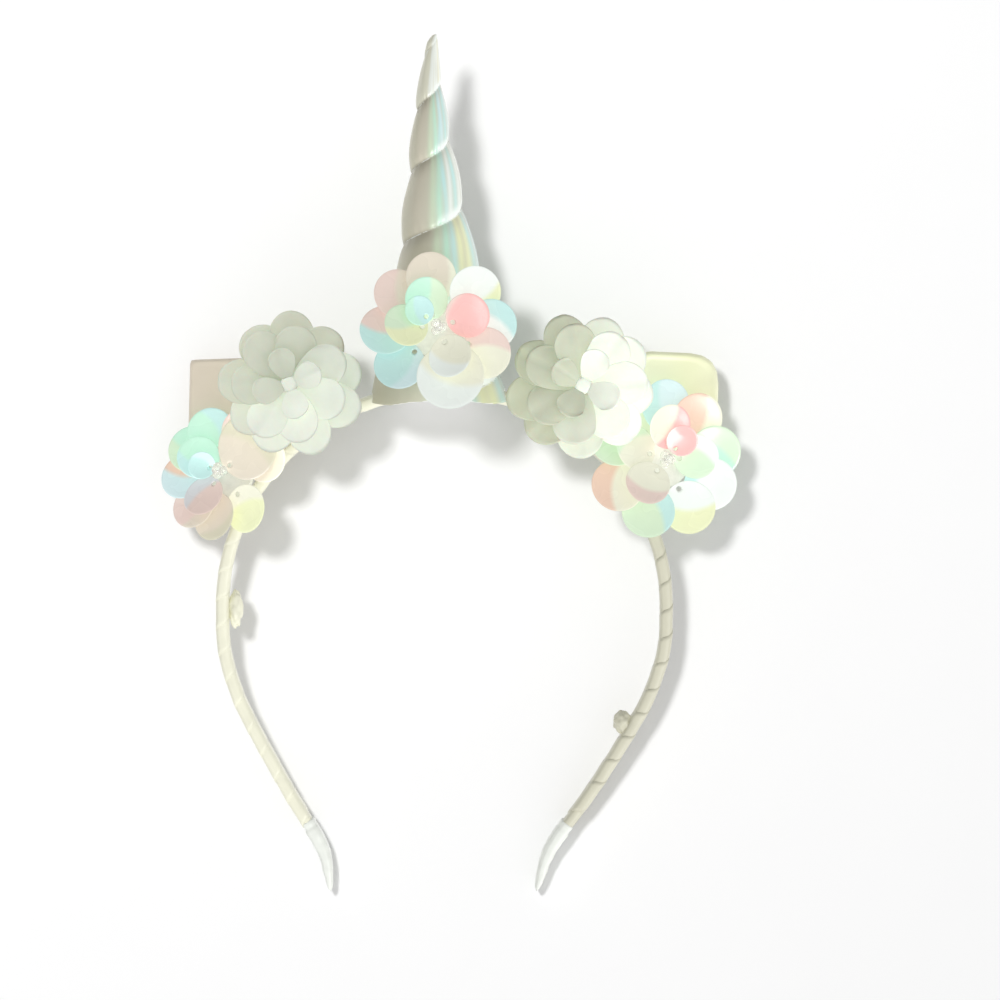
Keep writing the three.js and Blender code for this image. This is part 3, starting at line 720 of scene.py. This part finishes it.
def horn_colour_with_painted_light(body, turn, phase):
    """The horn's colour at a turn round it, where the phase counts the puffs from the tip. It carries painted
    light: streaks of iridescent reflection, shade at the top of each puff and in the groove away from the
    light, and a highlight on each puff's lower rim facing the light.
    """
    puff, share = max(0, math.floor(phase)), phase - math.floor(phase)
    colour = mix(body, FILM["cream"], 0.4 * max(0.0, 1 - phase / 4) + 0.5 * smooth(phase - 4.3))
    # Each streak paints an iridescent reflection over the cloth
    for at, width, strength, tints in HORN_PAINTED_REFLECTIONS:
        sway = 6 * noise.noise(Vector((phase * 1.1, at * 0.1, 2.0))) + 9 * (share - 0.5)
        off = (math.degrees(turn) - at - sway + 180) % 360 - 180
        patchy = 0.85 + 0.3 * noise.noise(Vector((phase * 2.3, at, 5.0)))
        amount = strength * math.exp(-((off / width) ** 2)) * patchy
        colour = mix(colour, FILM[tints[min(puff, 3)]], amount)
    facing_light = smooth((math.cos(turn - math.radians(45)) - 0.35) / 0.5)
    # Painted shade at the top of each puff, just under the groove, lighter on the side that faces the light
    upper = (0.75 - 0.45 * facing_light) * math.exp(-((share / 0.16) ** 2)) * (phase > 1)
    colour = mix(colour, FILM["shade"], upper)
    # Painted shade in the groove on the side away from the light
    colour = mix(colour, FILM["shade"], 0.65 * (1 - facing_light) * math.exp(-(((1 - share) / 0.03) ** 2)))
    # A painted highlight on the lower rim of each puff, on the side that faces the light
    painted_pinch_highlight = smooth((math.cos(turn - math.radians(25)) - 0.5) / 0.4)
    return mix(colour, FILM["white"], 0.95 * painted_pinch_highlight * smooth((share - 0.82) / 0.12))


class HEADBAND_OT_horn(bpy.types.Operator):
    """Stuff the horn and wind its thread, which pulls the cloth into puffs"""

    bl_idname = "headband.horn"
    bl_label = "Horn"

    def execute(self, context):
        groove = context.scene.headband_sizes.groove / MM
        body = tuple(context.scene.headband_colours.horn) + (1,)
        sides, rows = 96, 300
        rings, film = [], []
        for i in range(rows + 1):
            from_tip = HORN["height"] * (1 - (i / rows) ** 0.94)
            ring = []
            for j in range(sides):
                turn = 2 * math.pi * j / sides
                phase = horn_turns(from_tip) - turn / (2 * math.pi)
                share = phase - math.floor(phase)
                swell = math.sin(math.pi * share**1.15) ** 0.5
                fade = min(1.0, from_tip / 30 + 0.15)
                near = math.exp(-((min(share, 1 - share) / 0.13) ** 2))
                pleat = 0.07 * math.sin(turn * 23 + phase * 4)
                wrinkle = near * (pleat + 0.12 * noise.noise(Vector((turn * 6, phase * 9, 0))))
                round_axis = Vector((math.cos(turn) * 1.3, math.sin(turn) * 1.3, from_tip * 0.11))
                dent = 0.28 * noise.noise(round_axis)
                thickness = min(1.0, from_tip / 14)
                puff = (HORN["proud"] - groove * (1 - swell)) * fade
                radius = horn_radius(from_tip) + puff + (wrinkle + dent) * thickness
                point = TO_MODEL @ horn_point(from_tip, turn, max(radius, 0.35))
                # The stuffing gives way where the horn rests on the surface
                point.z = max(point.z, 0.0001)
                ring.append(point)
                film.append(horn_colour_with_painted_light(body, turn, phase))
            rings.append(ring)
        points, faces = skin(rings)
        film += [body] * 2
        cloth = "holographic coated cloth"
        horn = finished("stuffed_horn", points, faces, cloth, ["horn"], film)
        self.clear_band(horn)
        self.thread()
        return {"FINISHED"}

    def clear_band(self, horn):
        """Cuts the channel for the band and the hollow for the head out of the foot."""
        middle = LENGTH / 2
        rings = [
            [
                TO_MODEL @ section(length, math.cos(a), math.sin(a), 0.75)
                for a in np.linspace(0, 2 * math.pi, 24, False)
            ]
            for length in np.linspace(middle - 30, middle + 30, 60)
        ]
        low = []
        for length in np.linspace(middle - 34, middle + 34, 40):
            here, outward = along(length)
            edge = here - outward * 1.5
            row = ((edge.y, -30), (edge.y, 30), (20, 30), (20, -30))
            low.append([TO_MODEL @ Vector((edge.x, y, z)) for y, z in row])
        for i, shape in enumerate((rings, low)):
            points, faces = skin(shape)
            mesh = bpy.data.meshes.new("cutter")
            mesh.from_pydata(points, [], faces)
            shaped = bmesh.new()
            shaped.from_mesh(mesh)
            bmesh.ops.recalc_face_normals(shaped, faces=shaped.faces[:])
            shaped.to_mesh(mesh)
            shaped.free()
            cutter = bpy.data.objects.new("cutter", mesh)
            bpy.context.scene.collection.objects.link(cutter)
            modifier = horn.modifiers.new("cut", "BOOLEAN")
            modifier.operation = "DIFFERENCE"
            modifier.solver = "EXACT"
            modifier.object = cutter
            bpy.context.view_layer.objects.active = horn
            bpy.ops.object.modifier_apply(modifier=modifier.name)
            bpy.data.objects.remove(cutter)

    def thread(self):
        """The white thread that lies in the groove."""
        sides, steps = 8, 640
        last = horn_turns(HORN["height"] - 3)
        rings = []
        for i in range(steps + 1):
            turns = 0.35 + (last - 0.35) * i / steps
            centres = []
            for step in (0, 0.002):
                t = turns + step
                # The groove lies where the turn count and the turn round the axis differ by a whole number
                turn = 2 * math.pi * (t % 1)
                from_tip = HORN["first_turn"] * t + HORN["turn_growth"] * t**2
                depth = bpy.context.scene.headband_sizes.groove / MM - HORN["proud"]
                reach = horn_radius(from_tip) + 0.05 - depth * min(1.0, from_tip / 30 + 0.15)
                centres.append((horn_point(from_tip, turn, reach), turn))
            (here, turn), (ahead, _) = centres
            forward = (ahead - here).normalized()
            outward = Vector((math.cos(turn), 0, math.sin(turn)))
            aside = forward.cross(outward).normalized()
            ring = []
            for j in range(sides):
                a = 2 * math.pi * j / sides
                ring.append(TO_MODEL @ (here + outward * 0.2 * math.cos(a) + aside * 0.2 * math.sin(a)))
            rings.append(ring)
        points, faces = skin(rings)
        finished("horn_thread", points, faces, "white satin ribbon", [])


# Ears


class HEADBAND_OT_ears(bpy.types.Operator):
    """Pad the two leaf-shaped ears and roll their edges"""

    bl_idname = "headband.ears"
    bl_label = "Ears"

    # The side, how high the rolled edge stands in millimetres, and the colours at the foot, at the tip and of
    # the streaks
    EARS = (("left", 0.2, "tan", "beige", "beige"), ("right", 0.6, "green", "yellow", "cream"))

    def execute(self, context):
        for side, roll, foot, tip, streaked in self.EARS:
            node = f"ear_{side}"
            normal, middle, outline = top_face(node)
            turn = turned(normal)
            flat = sorted(
                (turn.inverted() @ (p - middle) for p in outline), key=lambda p: math.atan2(p.y, p.x)
            )
            ends = [math.atan2(p.y, p.x) for p in flat]
            lengths = [math.hypot(p.x, p.y) for p in flat]
            columns, shares = 120, (0.0, 0.2, 0.4, 0.58, 0.72, 0.82, 0.88, 0.92, 0.95, 0.975, 0.99, 1.0)
            centre = Vector(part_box("band")[0]) * 0.5 + Vector(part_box("band")[1]) * 0.5
            far = max(((turn @ p + middle) - centre).length for p in flat)
            up, down, film = [], [], []
            for j in range(columns):
                angle = 2 * math.pi * j / columns - math.pi
                i = next((k for k, end in enumerate(ends) if end >= angle), 0)
                a, b = flat[i - 1], flat[i]
                direction = Vector((math.cos(angle), math.sin(angle), 0))
                edge = b - a
                cross = direction.x * edge.y - direction.y * edge.x
                reach = (a.x * edge.y - a.y * edge.x) / cross if abs(cross) > 1e-9 else lengths[i]
                row_up, row_down = [], []
                for share in shares:
                    place = direction * reach * share
                    rolled = roll * math.exp(-(((share - 0.93) / 0.05) ** 2))
                    pillow = 0.35 * (1 - share**4) + 0.18 * noise.noise(place * 180)
                    edge_drop = 0.8 * (1 - math.sqrt(max(0.0, 1 - max(0.0, (share - 0.95) / 0.05) ** 2)))
                    top = pillow + rolled - 0.15 - edge_drop
                    bottom = -1.5 - 0.15 * (1 - share**4) + edge_drop
                    row_up.append(middle + turn @ (place + Vector((0, 0, top * MM))))
                    row_down.append(middle + turn @ (place + Vector((0, 0, bottom * MM))))
                up.append(row_up)
                down.append(row_down)
            points, faces, colours = [], [], []
            for grid, order in ((up, 1), (down, -1)):
                base = len(points)
                count = len(shares)
                for row in grid:
                    points += row
                for j in range(columns):
                    k = (j + 1) % columns
                    for i in range(count - 1):
                        here, there = base + j * count + i, base + k * count + i
                        faces.append((here, here + 1, there + 1, there)[::order])
            count = len(shares)
            half = columns * count
            for j in range(columns):
                k = (j + 1) % columns
                here, there = j * count + count - 1, k * count + count - 1
                faces.append((here, half + here, half + there, there))
            for p in points:
                share = smooth(((p - centre).length / far - 0.6) / 0.4)
                streak = 0.5 + 0.5 * noise.noise(p * 60)
                colour = mix(FILM[foot], FILM[tip], share)
                colours.append(mix(colour, FILM[streaked], 0.6 * smooth(streak)))
            cloth = "holographic coated cloth"
            ear = finished(f"padded_ear_{side}", points, faces, cloth, [node], colours)
            shaped = bmesh.new()
            shaped.from_mesh(ear.data)
            bmesh.ops.remove_doubles(shaped, verts=shaped.verts[:], dist=1e-6)
            bmesh.ops.recalc_face_normals(shaped, faces=shaped.faces[:])
            shaped.to_mesh(ear.data)
            shaped.free()
        return {"FINISHED"}


# Sequins

# Each disc's two colours of painted iridescent reflection, the direction in degrees of the second one and how
# far off the middle it begins
DISC_PAINTED_REFLECTIONS = {
    "centre_sequin_outer": (
        ("white", "aqua", 60, 0.3),
        ("white", "yellow", 300, 0.4),
        ("beige", "cream", 350, 0.7),
        ("beige", "pink", 190, 0.1),
        ("pink", "aqua", 265, 0.1),
        ("aqua", "ice", 330, 0.4),
        ("cream", "pink", 90, 0.3),
    ),
    "centre_sequin_large": (("cream", "white", 250, 0.2),),
    "centre_sequin_middle": (
        ("rose", "pink", 150, 0.8),
        ("mint", "green", 340, 0.1),
        ("green", "yellow", 290, 0.1),
        ("cream", "white", 250, 0.3),
    ),
    "centre_sequin_inner": (("aqua", "mint", 200, 0.3),),
    "left_sequin_outer": (
        ("beige", "cream", 340, 0.5),
        ("beige", "pink", 70, 0.2),
        ("mint", "aqua", 30, 0.3),
        ("mint", "green", 250, 0.1),
        ("peach", "ice", 262, 0.0),
        ("pink", "beige", 330, 0.3),
        ("beige", "tan", 300, 0.5),
        ("yellow", "cream", 110, 0.3),
    ),
    "left_sequin_large": (("beige", "tan", 60, 0.1),),
    "left_sequin_middle": (("mint", "aqua", 250, 0.3), ("pink", "lilac", 130, 0.3)),
    "left_sequin_inner": (("aqua", "ice", 60, 0.4),),
    "right_sequin_outer": (
        ("mint", "green", 60, 0.2),
        ("peach", "cream", 340, 0.3),
        ("ice", "aqua", 200, 0.2),
        ("green", "mint", 80, 0.2),
        ("cream", "peach", 170, 0.2),
        ("green", "aqua", 30, 0.4),
        ("white", "yellow", 270, 0.1),
        ("white", "aqua", 150, 0.5),
    ),
    "right_sequin_middle": (
        ("green", "white", 60, 0.3),
        ("cream", "rose", 330, 0.1),
        ("cream", "green", 120, 0.4),
        ("cream", "pink", 250, 0.3),
    ),
    "right_sequin_inner": (("rose", "pink", 180, 0.6),),
}


class HEADBAND_OT_sequins(bpy.types.Operator):
    """Press each sequin from pearly film, cupped a little, with its sewing hole"""

    bl_idname = "headband.sequins"
    bl_label = "Sequins"

    def execute(self, context):
        sizes = context.scene.headband_sizes
        for group, looks in DISC_PAINTED_REFLECTIONS.items():
            for i, look in enumerate(looks):
                self.disc(f"{group}_{i + 1}", look, sizes)
        return {"FINISHED"}

    def disc(self, node, look, sizes):
        normal, _, points = top_face(node)
        turn = turned(normal)
        flat = [turn.inverted() @ p for p in points]
        low = Vector([min(p[a] for p in flat) for a in range(3)])
        high = Vector([max(p[a] for p in flat) for a in range(3)])
        centre = (low + high) / 2
        radius = max((p - centre).length for p in flat)
        hole = [p for p in flat if (p - centre).length < 0.93 * radius]
        hole_centre = sum(hole, Vector()) / len(hole) - centre
        hole_centre.z = 0
        hole_radius = max((p - centre - hole_centre).length for p in hole)
        thickness, cup = sizes.sequin, sizes.sequin_cup
        sides, shares = 48, (0.0, 0.06, 0.2, 0.4, 0.6, 0.8, 0.93, 0.98, 1.0)
        seed = sum(ord(c) * (k + 1) for k, c in enumerate(node)) % 97
        bend = math.radians(seed * 37 % 360)
        # The disc's colours are painted iridescent reflections, paled a little towards white
        first, second = (mix(FILM[key], FILM["white"], 0.15) for key in look[:2])
        direction = math.radians(look[2])
        ahead = Vector((math.cos(direction), math.sin(direction), 0))
        aside = Vector((-math.sin(direction), math.cos(direction), 0))
        grids, film, film_b = [], [], []
        for side in (1, -1):
            grid = []
            for j in range(sides):
                a = 2 * math.pi * j / sides
                spoke = Vector((math.cos(a), math.sin(a), 0))
                row = []
                for share in shares:
                    place = (hole_centre + spoke * hole_radius).lerp(spoke * radius, share)
                    out = place.length / radius
                    across = (place.x * math.cos(bend) + place.y * math.sin(bend)) / radius
                    height = cup * (out**2 - 0.6) + 0.5 * cup * (across**2 - 0.3)
                    rim = thickness / 2 * math.sqrt(max(0.0, 1 - max(0.0, (share - 0.94) / 0.06) ** 2))
                    row.append(turn @ (centre + place + Vector((0, 0, -0.000225 + height + side * rim))))
                    arc = place.dot(ahead) / radius + 0.3 * (place.dot(aside) / radius) ** 2 - look[3]
                    film.append(first)
                    film_b.append((*second[:3], min(1.0, max(0.0, 0.5 + 0.5 * arc))))
                grid.append(row)
            grids.append(grid)
        count = len(shares)
        half = sides * count
        points = [p for grid in grids for row in grid for p in row]
        faces = []
        for j in range(sides):
            k = (j + 1) % sides
            for i in range(count - 1):
                quad = (j * count + i, j * count + i + 1, k * count + i + 1, k * count + i)
                faces += [quad, tuple(half + v for v in reversed(quad))]
            for i in (0, count - 1):
                faces.append((j * count + i, k * count + i, half + k * count + i, half + j * count + i))
        name = node.replace("_sequin_", "_disc_")
        finished(name, points, faces, "pearly sequin film", [node], film, film_b)


class HEADBAND_OT_beads(bpy.types.Operator):
    """Set the clear beads and their thread at the middle of each sequin flower, and lay felt on the bases"""

    bl_idname = "headband.beads"
    bl_label = "Beads and felt"

    def execute(self, context):
        radius = context.scene.headband_sizes.bead / 2
        for side in ("centre", "left", "right"):
            normal, middle, _ = top_face(f"{side}_sequin_base")
            turn = turned(normal)
            rise = 0.0054
            places = [Vector((0, 0, rise + radius))]
            places += [
                Vector((0.8 * radius * math.cos(a), 0.8 * radius * math.sin(a), rise - 0.0002))
                for a in (2 * math.pi / 3, 4 * math.pi / 3, 2 * math.pi)
            ]
            parts = []
            for place in places:
                rings = []
                for i in range(15):
                    latitude = math.pi * (0.02 + 0.96 * i / 14)
                    ring = []
                    for a in np.linspace(0, 2 * math.pi, 24, False):
                        round_z = math.sin(latitude)
                        unit = Vector((round_z * math.cos(a), round_z * math.sin(a), math.cos(latitude)))
                        ring.append(middle + turn @ (place + radius * unit))
                    rings.append(ring)
                parts.append(skin(rings))
            stalk = [
                [
                    middle + turn @ Vector((0.0004 * math.cos(a), 0.0004 * math.sin(a), height))
                    for a in np.linspace(0, 2 * math.pi, 8, False)
                ]
                for height in (0.0004, rise)
            ]
            parts.append(skin(stalk))
            points, faces = joined(parts)
            name, node = f"{side}_clear_beads", f"{side}_beads"
            finished(name, points, faces, "clear bead plastic", [node])
        for node, owner in frame["nodes"].items():
            if node.endswith("_base"):
                owner.data.materials.clear()
                owner.data.materials.append(material("white felt"))
        return {"FINISHED"}


# Petals

# Each layer: its petals' number, first direction, length and half width in millimetres, height over the base,
# slope at the foot and at the end, how far its sides cup, and its turn about its own arm
PETAL_LAYERS = {
    "left_fabric_outer": (9, 12, 19.9, 6.8, 0.4, 12, -18, -0.8, 9),
    "left_fabric_middle": (7, 30, 16.4, 6.2, 2.7, 26, -8, -0.65, 9),
    "left_fabric_inner": (4, 20, 9.4, 4.1, 4.9, 34, 8, 0.3, 4),
    "right_fabric_outer": (9, 30, 20.5, 7.0, 0.4, 12, -18, -0.8, 9),
    "right_fabric_middle": (7, 5, 17.0, 6.5, 2.7, 26, -6, -0.65, 9),
    "right_fabric_inner": (4, 60, 9.8, 4.3, 4.9, 34, 8, 0.3, 4),
}
PETAL_LIFT = 1.2  # the lowest layer's middle over the top of its base


class HEADBAND_OT_petals(bpy.types.Operator):
    """Cut each layer's petals, cup them and lay them round the flower"""

    bl_idname = "headband.petals"
    bl_label = "Cloth petals"

    # The painted shade on each flower's petals: how grey it makes the greyest petals, and their direction
    PAINTED_SHADE_SIDES = {"left": (0.5, 125), "right": (0.85, 175)}

    def execute(self, context):
        sizes = context.scene.headband_sizes
        cloth = (*context.scene.headband_colours.petals, 1)
        chance = random.Random(sizes.seed)
        for group, layer in PETAL_LAYERS.items():
            side = group.split("_")[0]
            normal, middle, _ = top_face(f"{side}_fabric_base")
            turn = turned(normal)
            count, first, rise = layer[0], layer[1], layer[4]
            parts, film, area = [], [], 0.0
            for i in range(count):
                angle = first + 360 / count * i
                strongest_painted_shade, at = self.PAINTED_SHADE_SIDES[side]
                # Painted shade greys the petals on one side of each flower
                grey = strongest_painted_shade * smooth(0.5 + math.cos(math.radians(angle - at)))
                cloth_with_painted_shade = mix(cloth, FILM["painted_petal_shade"], grey)
                points, faces, tones, share = self.petal(layer, sizes.petal / MM, cloth_with_painted_shade, chance)
                spin = Matrix.Rotation(math.radians(angle + chance.uniform(-5, 5)), 3, "Z")
                points = [middle + turn @ (spin @ p + Vector((0, 0, PETAL_LIFT))) * MM for p in points]
                parts.append((points, faces))
                film += tones
                area += share
            hub = [
                [
                    middle + turn @ Vector((r * math.cos(a), r * math.sin(a), rise + PETAL_LIFT + z)) * MM
                    for a in np.linspace(0, 2 * math.pi, 20, False)
                ]
                for r, z in ((2.2, -0.45), (2.6, -0.2), (2.6, 0.1), (1.4, 0.35))
            ]
            parts.append(skin(hub))
            film += [cloth] * (len(hub) * 20 + 2)
            points, faces = joined(parts)
            name, node = f"{group}_cloth_petals", f"{group}_petals"
            piece = finished(name, points, faces, "ivory petal cloth", [node], film)
            area = area * MM * MM
        return {"FINISHED"}

    def petal(self, layer, thickness, cloth, chance):
        """One petal along +X, in millimetres: its slope grows towards its end and its sides cup upwards."""
        _, _, length, half_width, rise, flat, curl, cup, twist = layer
        length *= chance.uniform(0.95, 1.05)
        start = math.radians(flat + chance.uniform(-3, 3))
        bend = (math.radians(curl + chance.uniform(-6, 6)) - start) / length
        cup *= chance.choice((1.3, 0.8, -0.8))
        phase = chance.uniform(0, 6.28)
        fold = chance.choice((0, 0.2, 0.45))
        ruffle = chance.uniform(0.1, 0.3)
        rows, columns = 18, 18
        roll = Matrix.Rotation(math.radians(twist + chance.uniform(-3, 3)), 3, "X")

        def place(row, column, offset):
            run = length * row * (0.62 + 0.38 * math.sqrt(1 - 0.985 * column**2))
            slope = start + bend * run
            lift = offset + cup * abs(column) ** 2.2 * row
            lift += ruffle * math.sin(column * 5 + phase) * row**2
            lift -= fold * math.exp(-((column / 0.13) ** 2)) * row
            lift += 0.3 * smooth((row - 0.84) / 0.16)
            return roll @ Vector(
                (
                    2 + (math.sin(slope) - math.sin(start)) / bend - lift * math.sin(slope),
                    half_width * column * (0.32 + 0.68 * math.sin(row * math.pi / 2) ** 0.9),
                    (math.cos(start) - math.cos(slope)) / bend + lift * math.cos(slope),
                )
            ) + Vector((0, 0, rise))

        shares = [i / rows for i in range(rows + 1)]
        sides = [-math.cos(math.pi * j / columns) for j in range(columns + 1)]
        grids = [
            [[place(row, column, offset) for column in sides] for row in shares]
            for offset in (thickness / 2, -thickness / 2)
        ]
        points, faces = plate(*grids)
        film = []
        for grid in grids:
            for row in shares:
                for column in sides:
                    # Painted shade darkens each petal towards its foot, deep in the flower
                    deep = 0.16 * (1 - smooth(row / 0.7))
                    film.append(mix(cloth, linear("#c3c9b2"), deep))
        area = sum(
            (grids[0][i + 1][j] - grids[0][i][j]).cross(grids[0][i][j + 1] - grids[0][i][j]).length
            for i in range(rows)
            for j in range(columns)
        )
        return points, faces, film, area


# Floor, lights and camera


class HEADBAND_OT_stage(bpy.types.Operator):
    """Lay the pale floor, light it softly and set the camera square to the headband's front"""

    bl_idname = "headband.stage"
    bl_label = "Floor, lights and camera"

    def execute(self, context):
        scene = context.scene
        mesh = bpy.data.meshes.new("floor")
        mesh.from_pydata([(x, y, 0) for x, y in ((-3, -3), (3, -3), (3, 3), (-3, 3))], [], [(0, 1, 2, 3)])
        floor = bpy.data.objects.new("floor", mesh)
        scene.collection.objects.link(floor)
        paper, tree, shader, place = new_material("pale paper floor", roughness=0.9, specular_ior_level=0.1)
        link(tree, varied(tree, place, linear("#f7f7f7"), 40, 0.995, 1.0), shader, "Base Color")
        mesh.materials.append(paper)

        world = bpy.data.worlds.new("studio")
        world.use_nodes = True
        tree = world.node_tree
        direction = add(tree, "ShaderNodeTexCoord").outputs["Generated"]
        towards = add(
            tree, "ShaderNodeVectorMath", {0: direction, 1: (0.45, -0.9, 0.0)}, operation="DOT_PRODUCT"
        ).outputs["Value"]
        span = {"Value": towards, "From Min": -1.0, "From Max": 1.0, "To Min": 0.5, "To Max": 1.4}
        shade = add(tree, "ShaderNodeMapRange", span).outputs["Result"]
        link(tree, shade, tree.nodes["Background"], "Color")
        tree.nodes["Background"].inputs["Strength"].default_value = 0.64
        scene.world = world

        # The key only lays the shadow on the floor, and the fills model the headband from the lower right and
        # left. The left petals stand up like a cup, so they have a fill of their own from the upper left.
        layers = ("outer", "middle", "inner")
        petals = [scene.objects[f"left_fabric_{layer}_cloth_petals"] for layer in layers]
        horn = [scene.objects[name] for name in ("stuffed_horn", "horn_thread")]
        discs = [piece for piece in scene.objects if piece.name.startswith("left_disc")]
        self.light("key", (-0.45, 0.45, 1.5), 0.22, 14.0, [floor])
        self.light("fill", (1.0, -1.0, 1.41), 0.8, 19.0, [floor, *petals], "EXCLUDE")
        self.light("left fill", (-1.1, -0.5, 1.3), 0.8, 7.0, [floor, *petals, *horn], "EXCLUDE")
        self.light("disc fill", (-1.1, -0.9, 1.0), 0.8, 8.0, discs)
        self.light("petal fill", (-0.9, 1.0, 1.3), 0.8, 15.0, petals)

        scene.view_settings.view_transform = "Standard"
        scene.view_settings.look = "None"
        camera = bpy.data.objects.new("camera", bpy.data.cameras.new("camera"))
        scene.collection.objects.link(camera)
        lens, sensor = 150, 36
        camera.data.lens = lens
        camera.data.sensor_width = sensor
        # The view is 0.3 m wide at a level 18 mm over the floor
        camera.location = (0.01485, -0.0099, 0.018 + 0.3 * lens / sensor)
        scene.camera = camera
        return {"FINISHED"}

    def light(self, name, place, size, power, pieces, state="INCLUDE"):
        """A soft light over some pieces, or over all but them. Only the key casts a shadow."""
        data = bpy.data.lights.new(name, "AREA")
        data.size = size
        data.energy = power
        data.use_shadow = name == "key"
        lamp = bpy.data.objects.new(name, data)
        bpy.context.scene.collection.objects.link(lamp)
        lamp.location = place
        lamp.rotation_euler = (-Vector(place)).to_track_quat("-Z", "Y").to_euler()
        linked = bpy.data.collections.new(f"pieces of the {name}")
        for piece in pieces:
            linked.objects.link(piece)
        for member in linked.collection_objects:
            member.light_linking.link_state = state
        lamp.light_linking.receiver_collection = linked


OPERATORS = (
    HEADBAND_OT_band,
    HEADBAND_OT_tips,
    HEADBAND_OT_lumps,
    HEADBAND_OT_horn,
    HEADBAND_OT_ears,
    HEADBAND_OT_sequins,
    HEADBAND_OT_beads,
    HEADBAND_OT_petals,
    HEADBAND_OT_stage,
)


class HEADBAND_PT_panel(bpy.types.Panel):
    bl_idname = "HEADBAND_PT_panel"
    bl_label = "Unicorn headband"
    bl_space_type = "VIEW_3D"
    bl_region_type = "UI"
    bl_category = "Headband"

    def draw(self, context):
        for group in (context.scene.headband_sizes, context.scene.headband_colours):
            for key in group.__annotations__:
                self.layout.prop(group, key)
        for operator in OPERATORS:
            self.layout.operator(operator.bl_idname)


CLASSES = (HeadbandSizes, HeadbandColours, *OPERATORS, HEADBAND_PT_panel)


def register():
    for cls in CLASSES:
        bpy.utils.register_class(cls)
    bpy.types.Scene.headband_sizes = PointerProperty(type=HeadbandSizes)
    bpy.types.Scene.headband_colours = PointerProperty(type=HeadbandColours)


def unregister():
    del bpy.types.Scene.headband_sizes
    del bpy.types.Scene.headband_colours
    for cls in reversed(CLASSES):
        bpy.utils.unregister_class(cls)


def main():
    register()
    for operator in OPERATORS:
        family, name = operator.bl_idname.split(".")
        getattr(getattr(bpy.ops, family), name)()


if __name__ == "__main__":
    main()
